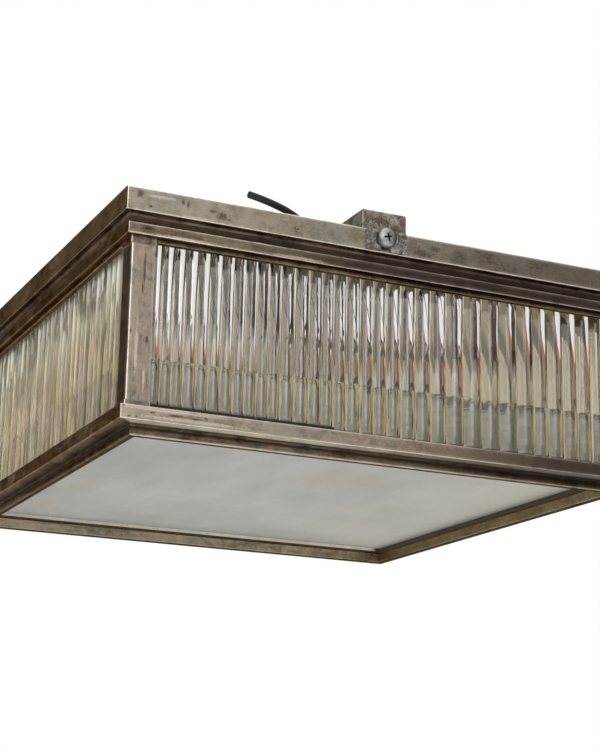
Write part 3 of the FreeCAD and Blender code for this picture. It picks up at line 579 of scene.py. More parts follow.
for k in range(4):
    name = SIDES[k]
    ins = INSIDE_GREY if k == 2 else INSIDE_GOLD
    top_m = aged_metal("band_metal_" + name, side_tone_and_shade(LIGHT, k), side_tone_and_shade(MID, k), side_tone_and_shade(DARK, k), patina=0.75 if k == 0 else 0.35, stain=0.32 if k == 0 else 0.6, pits=0.5, seed=1.0 + k,
                       axis=ALONG[k], fade=((-60.0, 140.0), 0.5) if k == 0 else None, edge=EDGE if k == 0 else SIDE_EDGE_IN_SHADE, **(FRONT_TOP if k == 0 else {}))
    cove_m = aged_metal("cove_metal_" + name, (0.30, 0.225, 0.15), (0.17, 0.12, 0.08), (0.055, 0.038, 0.026), patina=0.2, stain=0.5, pits=0.3, seed=2.2 + k, axis=ALONG[k],
                        edge=(0.60, 0.47, 0.34), fade=((-60.0, 120.0), 0.6) if k == 0 else None)
    # top band with the cove under it
    cove = arc((0.5, 111.7), (3.3, 115.4), (-0.9, 117.5), 10)
    pts = [(-2.5, 117.5, 0.6, "w", 0), (-2.5, 131.4, 0.9, "w", 0), (6.0, 131.4, 0.4, "w", 2), (6.0, 111.7, 0, "", 1), (0.5, 111.7, 0, "c", 1)]
    pts += [(u, z, 0, "c" if j < 5 else "", 1) for j, (u, z) in enumerate(cove[1:-1])] + [(-0.9, 117.5, 0, "w", 0)]
    rail("top_band", section(pts), -2.5, 1.2, [top_m, cove_m, ins], ["top_rail_" + name], k, amp=0.12)

    fil_m = aged_metal("fillet_metal_" + name, side_tone_and_shade((0.46, 0.365, 0.275), k), side_tone_and_shade((0.27, 0.20, 0.14), k), side_tone_and_shade((0.10, 0.07, 0.047), k), edge=EDGE if k == 0 else SIDE_EDGE_IN_SHADE, patina=0.45 if k == 0 else 0.2, stain=0.6, pits=0.4,
                       seed=5.0 + k, axis=ALONG[k], fade=((-125.0, -5.0), 0.86) if k == 0 else None, **(FRONT_FILLET if k == 0 else {}))
    bead_m = aged_metal("bead_metal_" + name, (0.30, 0.215, 0.12), (0.15, 0.105, 0.06), (0.045, 0.03, 0.02), edge=(0.24, 0.175, 0.105), patina=0.10, stain=0.5, pits=0.6, seed=7.7 + k,
                        rough=0.30, axis=ALONG[k], fade=((-60.0, 60.0), 0.5) if k == 0 else None)
    pts = [(0, 105.0, 0.5, "w", 0), (0, 111.7, 0.6, "w", 0), (6.0, 111.7, 0, "", 1), (6.0, 105.0, 0, "c", 0)]
    rail("second_band", section(pts), 0.0, 1.0, [fil_m, ins], ["fillet_rail_" + name], k, amp=0.12)
    pts = [(6.0, 105.2, 0, "", 1), (6.0, 102.0, 0, "c", 0)]
    for j, (u, z) in enumerate(arc((3.5, 102.0), (2.4, 103.5), (3.5, 105.0), 8)):
        pts.append((u, z, 0, "w" if j == 1 else "c" if j >= 6 else "", 0))
    rail("bead", section(pts + [(3.5, 105.2, 0, "", 0)]), 2.4, 0.0, [bead_m, ins], ["fillet_rail_" + name], k, amp=0.06, straight=151.55)

    low_m = aged_metal("low_metal_" + name, side_tone_and_shade((0.70, 0.56, 0.44), k), side_tone_and_shade((0.47, 0.37, 0.28), k), side_tone_and_shade((0.17, 0.12, 0.085), k), edge=(0.94, 0.83, 0.72) if k == 0 else SIDE_EDGE_IN_SHADE,
                       patina=0.8 if k == 0 else 0.25, stain=0.35 if k == 0 else 0.6, pits=0.4, seed=9.4 + k, axis=ALONG[k], fade=((-10.0, 120.0), 1.0) if k == 0 else None,
                       **(FRONT_LOW if k == 0 else {}))
    soffit_m = aged_metal("soffit_metal_" + name, *((0.70, 0.62, 0.50), (0.52, 0.455, 0.36), (0.18, 0.145, 0.11)) if k == 0 else ((0.24, 0.19, 0.14), (0.15, 0.115, 0.08), (0.05, 0.04, 0.03)),
                          edge=EDGE if k == 0 else SIDE_EDGE_IN_SHADE, dull=0.9 if k == 0 else 0.2, patina=0.6 if k == 0 else 0.3, stain=0.4, pits=0.45, seed=12.1 + k,
                          axis=ALONG[k], fade=((-50.0, 60.0), 0.8) if k == 0 else None)
    pts = [(0, -0.4, 0.35, "w", 0), (0, 7.7, 0.5, "w", 0), (7.0, 7.7, 0.4, "", 1), (7.0, 1.3, 0, "", 1), (12.9, 1.3, 0, "", 1), (12.9, 0, 0, "c", 1), (6.0, 0, 0, "", 1),
           (1.4, 0, 0, "c", 1), (1.4, -0.4, 0, "", 0)]
    rail("lower_band", section(pts), 0.0, 1.0, [low_m, soffit_m], ["bottom_rail_" + name], k, amp=0.12)

    lip_m = aged_metal("lip_metal_" + name, (0.36, 0.295, 0.225), (0.22, 0.17, 0.125), (0.08, 0.058, 0.04), edge=(0.52, 0.44, 0.35) if k == 0 else SIDE_EDGE_IN_SHADE, patina=0.35, stain=0.5, pits=0.4, seed=15.3 + k,
                       axis=ALONG[k], fade=((-20.0, 120.0), 0.7) if k == 0 else None)
    # the lip's inner face is painted lighter on the back, which looks towards the front, than on the other sides:
    # painted light
    lipin_m = aged_metal("lip_inner_metal_" + name, (0.74, 0.60, 0.42) if k == 2 else (0.42, 0.35, 0.20), (0.50, 0.39, 0.26) if k == 2 else (0.28, 0.22, 0.12), (0.20, 0.165, 0.12),
                         edge=(0.92, 0.80, 0.60), patina=0.6, stain=0.45, pits=0.3, seed=17.9 + k, axis=ALONG[k])
    # the lip's downward-facing underside is painted near-black: painted shade
    under_m = aged_metal("lip_under_metal_" + name, (0.11, 0.09, 0.07), (0.06, 0.048, 0.038), (0.025, 0.02, 0.015), edge=(0.30, 0.25, 0.20), patina=0.3, stain=0.3, pits=0.4, seed=19.9 + k,
                         axis=ALONG[k], rough=0.5)
    lip = arc((10.2, -7.15), (9.3, -5.1), (10.0, -3.2), 7)
    pts = [(9.8, 0, 0, "c", 1), (13.6, 0, 0, "", 1), (13.6, -6.4, 0, "w", 2), (13.6, -7.15, 0.5, "", 2), (10.5, -7.15, 0, "", 2)]
    pts += [(u, z, 0, "w" if j == 1 else "", 0) for j, (u, z) in enumerate(lip)] + [(11.0, -3.1, 0, "c", 0), (11.0, -2.0, 0, "c", 0), (9.8, -1.8, 0, "", 0)]
    rail("lip", section(pts, 1.0), 9.3, 0.05, [lip_m, lipin_m, under_m], ["lip_moulding_" + name], k, amp=0.05)


# ---------------------------------------------------------------------------
# corner posts, feet and caps
# ---------------------------------------------------------------------------
def corner_piece(name, u0, u1, leg, z0, z1, r, mats, k, rings, nodes=None, amp=0.08, group=None):
    """L section at a corner, swept upwards; its edges are rubbed."""
    a, b, c = -HALF + u0, -HALF + u1, -HALF + u0 + leg
    plan = [(a, a, r, "w"), (c, a, 0.35, "w"), (c, b, 0.2, ""), (b, b, 0, ""), (b, c, 0.2, ""), (a, c, 0.35, "w")]
    sec = section(plan, 1.6)
    m = len(sec)
    zs = [z0, z0 + 0.25, z0 + 0.7]
    zs += [z0 + 0.7 + (z1 - z0 - 1.4) * j / rings for j in range(1, rings)]
    zs += [z1 - 0.7, z1 - 0.25, z1]
    verts, faces, wear, dirt_and_shade = [], [], [], []
    for j, z in enumerate(zs):
        for (x, y, w, d, mt) in sec:
            inward = 0.12 if j in (0, len(zs) - 1) else 0.0
            dent = wave(x + 90 * k, y, z, amp, seed=7.7 * k)
            outer = (x < a + 0.6) or (y < a + 0.6)
            xx, yy = x, y
            if outer:
                if x < a + 0.6:
                    xx += dent + inward
                if y < a + 0.6:
                    yy += dent + inward
            px, py = turn(xx, yy, k)
            verts.append(P(px, py, z))
            wear.append(max(w, 0.7 if j in (0, len(zs) - 1) and z1 - z0 > 20 else 0.0))
            dirt_and_shade.append(d)
    for j in range(len(zs) - 1):
        for i in range(m):
            i2 = (i + 1) % m
            faces.append((j * m + i, j * m + i2, (j + 1) * m + i2, (j + 1) * m + i))
    faces.append(tuple(range(m)))
    faces.append(tuple((len(zs) - 1) * m + i for i in reversed(range(m))))
    o = make(name, verts, faces, mats, attrs={"wear": wear, "dirt_and_shade": dirt_and_shade}, sharp=0.7)
    if nodes:
        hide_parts(*nodes)
    return o


CORNERS = ("front_left", "front_right", "back_right", "back_left")
for k, cname in enumerate(CORNERS):
    extra = {}
    if k == 0:
        extra = dict(
            spots=[((-157.8, -166.1, 86.0), (0.55, 2, 8.5)), ((-158.6, -166.1, 75.0), (0.5, 2, 3.0)), ((-155.0, -166.1, 46.0), (0.7, 2, 2.0)), ((-164.5, -166.1, 50.0), (0.7, 2, 0.7)),
                   ((-152.5, -166.1, 96.3), (0.6, 2, 1.2))],
            pale=[((-161.0, -166.1, 40.0), (0.8, 2, 12.0)), ((-156.0, -166.1, 24.0), (0.7, 2, 6.0))])
    post_m = aged_metal("post_metal_" + cname, (0.58, 0.48, 0.385), (0.42, 0.335, 0.26), (0.18, 0.138, 0.105), edge=(0.86, 0.77, 0.67), patina=0.7, stain=0.35, pits=0.4, seed=21.0 + k,
                        rough=0.42, axis=(1.0, 1.0, 0.05), side_faces_shaded_brown=True, **extra)
    corner_piece("post_" + cname, 3.9, 5.5, 14.2, 10.8, 100.7, 0.7, [post_m], k, 46, ["corner_post_" + cname])
    foot_m = aged_metal("foot_metal_" + cname, (0.50, 0.42, 0.35), (0.32, 0.26, 0.21), (0.13, 0.10, 0.075), patina=0.4, stain=0.4, seed=25.0 + k)
    f = corner_piece("post_foot_" + cname, 3.2, 7.2, 15.2, 7.7, 10.8, 0.5, [foot_m], k, 2, ["post_feet"] if k == 0 else None, amp=0.03)
    c = corner_piece("post_cap_" + cname, 3.2, 6.0, 15.2, 100.7, 105.0, 0.5, [foot_m], k, 2, ["post_caps"] if k == 0 else None, amp=0.03)
    if k:
        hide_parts("post_feet")
        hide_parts("post_caps")


# ---------------------------------------------------------------------------
# glass rods: drawn by hand, so their sides waver a little
# ---------------------------------------------------------------------------
def rod_glass(name, film):
    """Clear drawn glass; film is how much of a whitish dusty coat lies on it, in vertical runs. Where film is set, that
    coat also carries painted highlight streaks down one side of each rod, stronger and whiter towards the top, and a
    painted yellow reflection lower down.
    """
    t = Tree(name)
    w = t.noise(t.mm, 0.25, 3.0, 0.5, stretch=(1.0, 1.0, 0.06))
    s = t.noise(t.mm, 1.3, 3.0, 0.5, stretch=(1.0, 1.0, 0.03))
    d = t.noise(t.mm, 0.35, 5.0, 0.6)
    g = t.principled(
        Base_Color=t.ramp(w, [(0.32, (0.94, 0.905, 0.815)), (0.66, (0.97, 0.955, 0.915))]),
        Roughness=t.range(d, 0.45, 0.75, 0.012, 0.075),
        Normal=t.bump(s, 0.12, 0.0003))
    g.inputs["Transmission Weight"].default_value = 1.0
    g.inputs["IOR"].default_value = 1.5
    if film:
        x, y, z = t.xyz(t.mm)
        run = t.noise(t.mm, 0.30, 5.0, 0.6, stretch=(1.0, 1.0, 0.16), offset=(3.0, 8.0, 1.0))
        patch = t.noise(t.mm, 0.05, 4.0, 0.6)
        # 0 low on the rod, 1 near the top, where the painted glints grow stronger and whiter
        high = t.range(z, 52.0 - TOP, 104.0 - TOP, 0.0, 1.0)
        # painted highlight streaks down one side of each left-wall rod, stronger on some rods than others
        glint_run = t.math("MULTIPLY", t.math("MULTIPLY", t.attr("glint_side"), t.attr("glint_share")), t.range(run, 0.36, 0.54, 0.15, 1.0))
        f = t.math("ADD", t.math("MULTIPLY", glint_run, t.math("ADD", 0.72, t.math("MULTIPLY", high, 0.40))), t.math("MULTIPLY", t.range(patch, 0.40, 0.62), film), clamp=True)
        f = t.math("ADD", f, t.math("MULTIPLY", high, t.range(run, 0.44, 0.55, 0.0, 0.38)), clamp=True)
        # film colour: a painted yellow reflection low down, white painted glints near the top, cream where the dusty
        # coat is thick
        dust_and_glint_colour = t.mix(t.range(patch, 0.38, 0.62), t.mix(high, (0.84, 0.74, 0.42), (0.95, 0.95, 0.90)), (0.86, 0.82, 0.66))
        dust_and_glint_bsdf = t.nt.nodes.new("ShaderNodeBsdfDiffuse")
        t.put(dust_and_glint_bsdf.inputs["Color"], dust_and_glint_colour)
        glow = t.nt.nodes.new("ShaderNodeBsdfTranslucent")
        t.put(glow.inputs["Color"], dust_and_glint_colour)
        both = t.nt.nodes.new("ShaderNodeMixShader")
        t.nt.links.new(dust_and_glint_bsdf.outputs[0], both.inputs[1])
        t.nt.links.new(glow.outputs[0], both.inputs[2])
        both.inputs[0].default_value = 0.35
        mx = t.nt.nodes.new("ShaderNodeMixShader")
        t.put(mx.inputs[0], f)
        t.nt.links.new(g.outputs[0], mx.inputs[1])
        t.nt.links.new(both.outputs[0], mx.inputs[2])
        t.nt.links.new(mx.outputs[0], t.out.inputs[0])
    return t.mat


GLASS = rod_glass("rod_glass", 0.0)
GLASS_DUST_AND_GLINT = rod_glass("rod_glass_dust_and_glint", 0.05)

_t = Tree("rod_ground_ends")
_n = _t.noise(_t.mm, 0.9, 4.0, 0.6)
_t.principled(Base_Color=_t.ramp(_n, [(0.35, (0.20, 0.185, 0.15)), (0.65, (0.36, 0.34, 0.28))]), Roughness=_t.range(_n, 0.3, 0.7, 0.55, 0.8), Normal=_t.bump(_n, 0.4, 0.0002))
GROUND = _t.mat


def islands(node):
    """(lowest, highest) corner of each separate solid of a CAD node."""
    bm = bmesh.new()
    bm.from_mesh(NODES[node].data)
    bmesh.ops.remove_doubles(bm, verts=bm.verts, dist=1e-6)
    bm.verts.ensure_lookup_table()
    seen, out = set(), []
    for v in bm.verts:
        if v.index in seen:
            continue
        stack, lo, hi = [v], Vector((1e9,) * 3), Vector((-1e9,) * 3)
        seen.add(v.index)
        while stack:
            a = stack.pop()
            lo = Vector(map(min, lo, a.co))
            hi = Vector(map(max, hi, a.co))
            for e in a.link_edges:
                b = e.other_vert(a)
                if b.index not in seen:
                    seen.add(b.index)
                    stack.append(b)
        out.append((lo, hi))
    bm.free()
    return out


def rods(node, name, seed):
    verts, faces, fm, glint_side, glint_share = [], [], [], [], []
    seg, rows = 36, 22
    left = node.endswith("left")
    for idx, (lo, hi) in enumerate(sorted(islands(node), key=lambda b: (round(b[0].x, 4), round(b[0].y, 4)))):
        c = (lo + hi) / 2
        r = min(hi.x - lo.x, hi.y - lo.y) / 2
        z0, z1 = lo.z, hi.z
        ch = 0.0007
        levels = [(z0, r - ch), (z0 + ch * 0.3, r - ch * 0.35), (z0 + ch, r)]
        levels += [(z0 + ch + (z1 - z0 - 2 * ch) * j / rows, r) for j in range(1, rows)]
        levels += [(z1 - ch, r), (z1 - ch * 0.3, r - ch * 0.35), (z1, r - ch)]
        base = len(verts)
        sd = seed * 31.7 + idx * 5.37
        for j, (z, rr) in enumerate(levels):
            f = (z - z0) / (z1 - z0)
            for s in range(seg):
                a = 2 * math.pi * s / seg
                swell = noise.noise(Vector((sd, f * 3.2, math.cos(a) * 0.6 + math.sin(a) * 0.3)))
                fine = noise.noise(Vector((sd + 9.0, f * 8.0, math.cos(a) * 1.4 + math.sin(a) * 1.1)))
                k = 1.0 - 0.013 * (0.5 + 0.5 * swell) - 0.004 * (0.5 + 0.5 * fine)
                verts.append((c.x + rr * k * math.cos(a), c.y + rr * k * math.sin(a), z))
                # a painted highlight lobe round one side of each left-wall rod, and how strong it is on this rod
                off = (a - math.pi - 0.20 + math.pi) % (2 * math.pi) - math.pi
                glint_side.append(math.exp(-(off / (0.20 + 0.24 * ((idx * 0.382 + 0.1) % 1.0))) ** 2) if left else 0.0)
                glint_share.append(0.15 + 0.85 * ((idx * 0.618 + 0.3) % 1.0))
        n = len(levels)
        for j in range(n - 1):
            for s in range(seg):
                s2 = (s + 1) % seg
                faces.append((base + j * seg + s, base + j * seg + s2, base + (j + 1) * seg + s2, base + (j + 1) * seg + s))
                fm.append(1 if j < 2 or j > n - 4 else 0)
        faces.append(tuple(base + s for s in reversed(range(seg))))
        faces.append(tuple(base + (n - 1) * seg + s for s in range(seg)))
        fm += [1, 1]
    o = make(name, verts, faces, [GLASS_DUST_AND_GLINT if left else GLASS, GROUND], attrs={"glint_side": glint_side, "glint_share": glint_share} if left else None, face_mats=fm, sharp=0.9)
    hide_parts(node)
    return o


for i, s in enumerate(SIDES):
    rods("glass_rods_" + s, "rods_" + s, i + 1)


# ---------------------------------------------------------------------------
# ribs pressed in the front seat's inner leg, one for each rod
# ---------------------------------------------------------------------------
def through(r, phi, f, far):
    """Where a level ray that meets a rod at f of its radius crosses a plane this far behind the rod's middle."""
    n = 1.537
    d = Vector((math.sin(phi), math.cos(phi)))
    side = Vector((math.cos(phi), -math.sin(phi)))
    p = side * (f * r) - d * math.sqrt(max(0.0, 1.0 - f * f)) * r
    nn = p / r
    c = -nn.dot(d)
    e = 1.0 / n
    d = d * e + nn * (e * c - math.sqrt(1.0 - e * e * (1.0 - c * c)))
    p = p + d * (-2.0 * p.dot(d))
    nn = -p / r
    c = -nn.dot(d)
    d = d * n + nn * (n * c - math.sqrt(max(0.0, 1.0 - n * n * (1.0 - c * c))))
    return p.x + d.x * (far - p.y) / d.y


def ribs():
    verts, faces, low, fm = [], [], [], []
    cols = 8
    for lo, hi in sorted(islands("glass_rods_front"), key=lambda b: round(b[0].x, 4)):
        cx, cy = (lo.x + hi.x) * 500.0 - 11.8, (lo.y + hi.y) * 500.0
        r = (hi.x - lo.x) * 500.0
        if abs(cx) > 150.0:
            continue
        phi = math.atan2(cx + 461.63, cy + 1032.5)
        w = 1.0 - 0.50 * min(1.0, max(0.0, (cx + 100.0) / 160.0))
        hits = [through(r, phi, f * w, 6.2) for f in (-0.52, -0.3, 0.0, 0.3, 0.58)]
        a, b = min(hits) - 0.12, max(hits) + 0.12
        mid, half = cx + (a + b) / 2, max(0.35, (b - a) / 2)
        top = 39.4 + 4.2 * (mid + 170.0) / 340.0
        base = len(verts)
        drops = (0.0, 0.5, 1.0, 1.5, 2.0, 2.6, 3.4)
        rows = len(drops) + 1
        for j in range(cols + 1):
            t = -1.0 + 2.0 * j / cols
            tip = top - 5.2 * abs(t) ** 1.6
            x = mid + half * t
            y = -150.35 - 0.18 * (1.0 - t * t)
            for q in drops:
                verts.append(P(x, y, tip - q))
                low.append(q)
            verts.append(P(x, y, 11.5))
            low.append(30.0)
            verts.append(P(x, -149.95, tip))
            low.append(0.0)
            verts.append(P(x, -149.95, 11.5))
            low.append(30.0)
        w = rows + 2
        for j in range(cols):
            o, q = base + j * w, base + (j + 1) * w
            for i in range(rows - 1):
                faces.append((o + i, o + i + 1, q + i + 1, q + i))
            faces.append((o, q, q + rows, o + rows))
            faces.append((o + rows, q + rows, q + rows + 1, o + rows + 1))
            faces.append((o + rows - 1, o + rows + 1, q + rows + 1, q + rows - 1))
        for o in (base, base + cols * w):
            ring = [o + i for i in range(rows)] + [o + rows + 1, o + rows]
            faces.append(tuple(ring if o != base else reversed(ring)))
    t = Tree("rib_grey")
    n = t.noise(t.mm, 0.22, 5.0, 0.6, stretch=(1.0, 1.0, 0.4))
    f = t.noise(t.mm, 0.8, 4.0, 0.6)
    base_c = t.mix(t.range(f, 0.4, 0.75, 0.0, 0.45), t.ramp(n, [(0.35, (0.42, 0.44, 0.435)), (0.65, (0.55, 0.57, 0.56))]), (0.26, 0.255, 0.24))
    q = t.attr("low")
    hem = t.math("MAXIMUM", t.range(q, 0.8, 1.1, 1.0, 0.0), t.math("MULTIPLY", t.range(q, 1.6, 1.9), t.range(q, 2.5, 2.8, 1.0, 0.0)))
    base_c = t.mix(t.math("MULTIPLY", hem, 0.92), base_c, (0.035, 0.03, 0.025))
    t.principled(Base_Color=base_c, Roughness=t.range(n, 0.3, 0.7, 0.75, 0.9), Metallic=0.0, Normal=t.bump(f, 0.3, 0.0002))
    o = make("seat_ribs_front", verts, faces, [t.mat], smooth=False, attrs={"low": low})
    return o


ribs()


# ---------------------------------------------------------------------------
# frosted pane
# ---------------------------------------------------------------------------
def pane():
    t = Tree("frosted_glass")
    v = t.mm
    cloud = t.noise(v, 0.012, 4.0, 0.55, 0.5)
    streak = t.noise(v, 0.05, 4.0, 0.6, stretch=(1.0, 0.25, 1.0))
    fine = t.noise(v, 0.6, 3.0, 0.6)
    base = t.ramp(t.math("ADD", t.math("MULTIPLY", cloud, 0.6), t.math("MULTIPLY", streak, 0.4)), [(0.35, (0.505, 0.518, 0.484)), (0.65, (0.62, 0.63, 0.60))])
    # faint yellow stains, more of them towards the edge
    x, y, z = t.xyz(v)
    base = t.mix(t.range(x, 40.0, 150.0, 0.0, 0.5), base, (0.655, 0.605, 0.495))
    ex = t.math("ABSOLUTE", t.math("SUBTRACT", x, 11.8))
    ey = t.math("ABSOLUTE", y)
    rim = t.range(t.math("MAXIMUM", ex, ey), 118.0, 158.0, 0.12, 1.0)
    st = t.range(t.noise(v, 0.035, 6.0, 0.7, 1.0, offset=(7.0, 3.0, 0.0)), 0.54, 0.74)
    base = t.mix(t.math("MULTIPLY", t.math("MULTIPLY", st, rim), 0.42), base, (0.56, 0.47, 0.30))
    smudge = t.math("MULTIPLY", t.math("SUBTRACT", fine, 0.5), 2.6)
    marks = [((-106.0, -118.0, 4.25), (14.0, 9.0, 9.0)), ((-85.0, -128.0, 4.25), (10.0, 5.0, 9.0)), ((-120.0, 40.0, 4.25), (10.0, 16.0, 9.0)), ((-60.0, 120.0, 4.25), (26.0, 8.0, 9.0)),
             ((60.0, 128.0, 4.25), (30.0, 7.0, 9.0)), ((-128.0, 118.0, 4.25), (8.0, 22.0, 9.0)), ((20.0, -60.0, 4.25), (30.0, 26.0, 9.0))]
    base = t.mix(t.math("MULTIPLY", t.most([t.spot(c, q, 0.6, smudge) for c, q in marks]), 0.27), base, (0.50, 0.42, 0.28))
    dots = t.voronoi(v, 0.075)
    dot = t.math("MULTIPLY", t.range(dots, 0.02, 0.055, 1.0, 0.0), t.range(t.noise(v, 0.02, 2.0, 0.5), 0.50, 0.62))
    base = t.mix(t.math("MULTIPLY", dot, 0.85), base, (0.14, 0.11, 0.07))
    edge = t.range(t.math("MAXIMUM", ex, ey), 151.5, 156.6)
    base = t.mix(t.math("MULTIPLY", edge, 0.35), base, (0.30, 0.31, 0.27))
    rough = t.range(fine, 0.3, 0.7, 0.48, 0.62)
    p = t.nt.nodes.new("ShaderNodeBsdfPrincipled")
    t.put(p.inputs["Base Color"], base)
    t.put(p.inputs["Roughness"], rough)
    t.put(p.inputs["Normal"], t.bump(fine, 0.15, 0.0001))
    p.inputs["IOR"].default_value = 1.5
    tr = t.nt.nodes.new("ShaderNodeBsdfTranslucent")
    t.put(tr.inputs["Color"], base)
    mx = t.nt.nodes.new("ShaderNodeMixShader")
    mx.inputs[0].default_value = 0.35
    t.nt.links.new(p.outputs[0], mx.inputs[1])
    t.nt.links.new(tr.outputs[0], mx.inputs[2])
    t.nt.links.new(mx.outputs[0], t.out.inputs[0])
    return t.mat


NODES["frosted_pane"].data.materials.clear()
NODES["frosted_pane"].data.materials.append(pane())


# ---------------------------------------------------------------------------
# other finishes, for the CAD pieces that stay
# ---------------------------------------------------------------------------
def plain(name, a, b, scale=0.2, rough=(0.4, 0.6), metallic=0.0, bump=0.2, dist=0.0002, specks=None, stretch=None, ior=None, coat=None, dark_right_and_foot_shade=False):
    t = Tree(name)
    n = t.noise(t.mm, scale, 5.0, 0.6, 0.3, stretch=stretch)
    f = t.noise(t.mm, scale * 8, 4.0, 0.6)
    col = t.ramp(t.math("ADD", t.math("MULTIPLY", n, 0.7), t.math("MULTIPLY", f, 0.3)), [(0.34, a), (0.66, b)])
    if specks:
        col = t.mix(t.range(t.noise(t.mm, scale * 5, 3.0, 0.6, offset=(5.0, 5.0, 5.0)), 0.62, 0.72), col, specks)
    if dark_right_and_foot_shade:
        # darker towards the right-hand end, and a painted shadow line along the putty's foot where the gap beneath it
        # lies
        col = t.mix(t.range(t.xyz(t.mm)[0], 150.0 - BAR_X, 155.0 - BAR_X), col, (0.045, 0.034, 0.024))
        col = t.mix(t.range(t.xyz(t.mm)[2], 1.9 - TOP, 2.3 - TOP, 1.0, 0.0), col, (0.06, 0.045, 0.03))
    p = t.principled(Base_Color=col, Roughness=t.range(n, 0.3, 0.7, *rough), Normal=t.bump(f, bump, dist))
    p.inputs["Metallic"].default_value = metallic
    if ior:
        p.inputs["IOR"].default_value = ior
    if coat:
        p.inputs["Coat Weight"].default_value = coat
    return t


def rusty(name, base_a, base_b, rust=0.5, pit=0.5, seed=0.0, patches=(), spread=0.14):
    t = Tree(name)
    v = t.mm
    off = (seed, seed * 2, -seed)
    n = t.noise(v, 0.16, 6.0, 0.62, 0.5, offset=off)
    f = t.noise(v, 1.1, 5.0, 0.65, offset=off)
    g = t.noise(v, 3.6, 3.0, 0.6)
    col = t.ramp(t.math("ADD", t.math("MULTIPLY", n, 0.55), t.math("MULTIPLY", f, 0.45)), [(0.5 - spread, base_a), (0.5 + spread, base_b)])
    r = t.range(t.noise(v, 0.11, 6.0, 0.7, 0.8, offset=(off[0] + 4.0, off[1], off[2])), 0.64 - rust * 0.2, 0.72 - rust * 0.18)
    if patches:
        ragged = t.math("MULTIPLY", t.math("SUBTRACT", f, 0.5), 2.2)
        r = t.math("MAXIMUM", r, t.most([t.spot(c, s, 0.4, ragged) for c, s in patches]))
    rc = t.ramp(f, [(0.38, (0.050, 0.024, 0.014)), (0.62, (0.16, 0.078, 0.042))])
    col = t.mix(t.math("MULTIPLY", r, 0.85), col, rc)
    cell = t.voronoi(t.vec("ADD", v, off), 0.95)
    hole = t.math("MULTIPLY", t.range(t.math("ADD", cell, t.math("MULTIPLY", t.math("SUBTRACT", f, 0.5), 0.9)), 0.12, 0.34, 1.0, 0.0), pit)
    col = t.mix(t.math("MULTIPLY", hole, 0.8), col, (0.055, 0.042, 0.034))
    rgh = t.math("ADD", 0.42, t.math("MULTIPLY", r, 0.35), clamp=True)
    met = t.math("SUBTRACT", 0.9, t.math("MULTIPLY", r, 0.8), clamp=True)
    h = t.math("SUBTRACT", t.math("ADD", t.math("MULTIPLY", f, 0.5), t.math("MULTIPLY", g, 0.2)), t.math("MULTIPLY", hole, 0.8))
    t.principled(Base_Color=col, Roughness=rgh, Metallic=met, Normal=t.bump(h, 0.7, 0.0004))
    return t.mat


bar_m = rusty("bar_steel", (0.16, 0.138, 0.108), (0.60, 0.545, 0.45), rust=0.25, pit=0.6, seed=2.0, spread=0.09,
              patches=[((-14.5, -171.9, 137.5), (6.5, 2, 2.6)), ((-3.5, -171.9, 134.0), (5.0, 2, 2.2)), ((0.5, -171.9, 138.0), (2.5, 2, 3.0))])
plate_m = rusty("plate_steel", (0.085, 0.08, 0.07), (0.56, 0.54, 0.50), rust=0.05, pit=1.0, seed=5.0, spread=0.075,
                patches=[((-1.5, -174.0, 128.5), (4.0, 2, 1.3)), ((-20.0, -174.0, 118.4), (5.0, 2, 0.7))])
strap_m = rusty("strap_steel", (0.26, 0.25, 0.235), (0.44, 0.43, 0.41), rust=0.3, pit=0.3, seed=9.0)
zinc = plain("zinc", (0.42, 0.43, 0.42), (0.68, 0.68, 0.66), 0.7, (0.28, 0.45), 1.0, 0.35, 0.00015, specks=(0.22, 0.21, 0.19))
def screw_metal():
    """Dull zinc with grime and painted shade in the cross recess, and a painted dark ring of shade round the head."""
    t = Tree("fixing_zinc")
    n = t.noise(t.mm, 0.7, 5.0, 0.6, 0.3)
    f = t.noise(t.mm, 3.0, 4.0, 0.65)
    x, y, z = t.xyz(t.mm)
    base = t.ramp(t.math("ADD", t.math("MULTIPLY", n, 0.6), t.math("MULTIPLY", f, 0.4)), [(0.40, (0.24, 0.245, 0.24)), (0.60, (0.62, 0.62, 0.60))])
    # the cross recess is darkened by grime and painted shade; the ring round the head is painted shade
    r2 = t.math("ADD", t.math("POWER", x, 2.0), t.math("POWER", t.math("ADD", z, 17.0), 2.0))
    deep = t.math("SUBTRACT", t.math("SUBTRACT", 177.88, t.math("ABSOLUTE", y)), t.math("MULTIPLY", r2, 0.05))
    cross = t.math("MULTIPLY", t.range(deep, 0.30, 0.60), t.range(r2, 9.5, 12.0, 1.0, 0.0))
    rim = t.math("MULTIPLY", t.range(r2, 24.0, 34.0), 0.75)
    base = t.mix(t.most([cross, rim]), base, (0.030, 0.027, 0.024))
    t.principled(Base_Color=base, Roughness=t.range(n, 0.3, 0.7, 0.30, 0.50), Metallic=t.range(cross, 0.0, 1.0, 0.95, 0.1), Normal=t.bump(f, 0.45, 0.00018))
    return t.mat


fixing = screw_metal()
brass = plain("dull_brass", (0.42, 0.30, 0.13), (0.66, 0.50, 0.25), 0.25, (0.28, 0.46), 1.0, 0.2, 0.0001, specks=(0.20, 0.13, 0.06))
bakelite = plain("bakelite", (0.085, 0.05, 0.032), (0.15, 0.09, 0.058), 0.12, (0.22, 0.36), 0.0, 0.15, 0.0001, coat=0.3)
opal = plain("opal_glass", (0.86, 0.85, 0.80), (0.93, 0.92, 0.88), 0.05, (0.10, 0.18), 0.0, 0.02, 0.0001)
nylon = plain("nylon", (0.72, 0.70, 0.64), (0.82, 0.81, 0.77), 0.2, (0.38, 0.5), 0.0, 0.1, 0.0001)
rubber = plain("rubber", (0.012, 0.012, 0.013), (0.035, 0.035, 0.037), 0.35, (0.55, 0.75), 0.0, 0.5, 0.00015, specks=(0.07, 0.068, 0.065))
seat = plain("old_brass", (0.30, 0.235, 0.12), (0.52, 0.43, 0.25), 0.15, (0.4, 0.6), 0.35, 0.3, 0.0002, specks=(0.12, 0.085, 0.045))
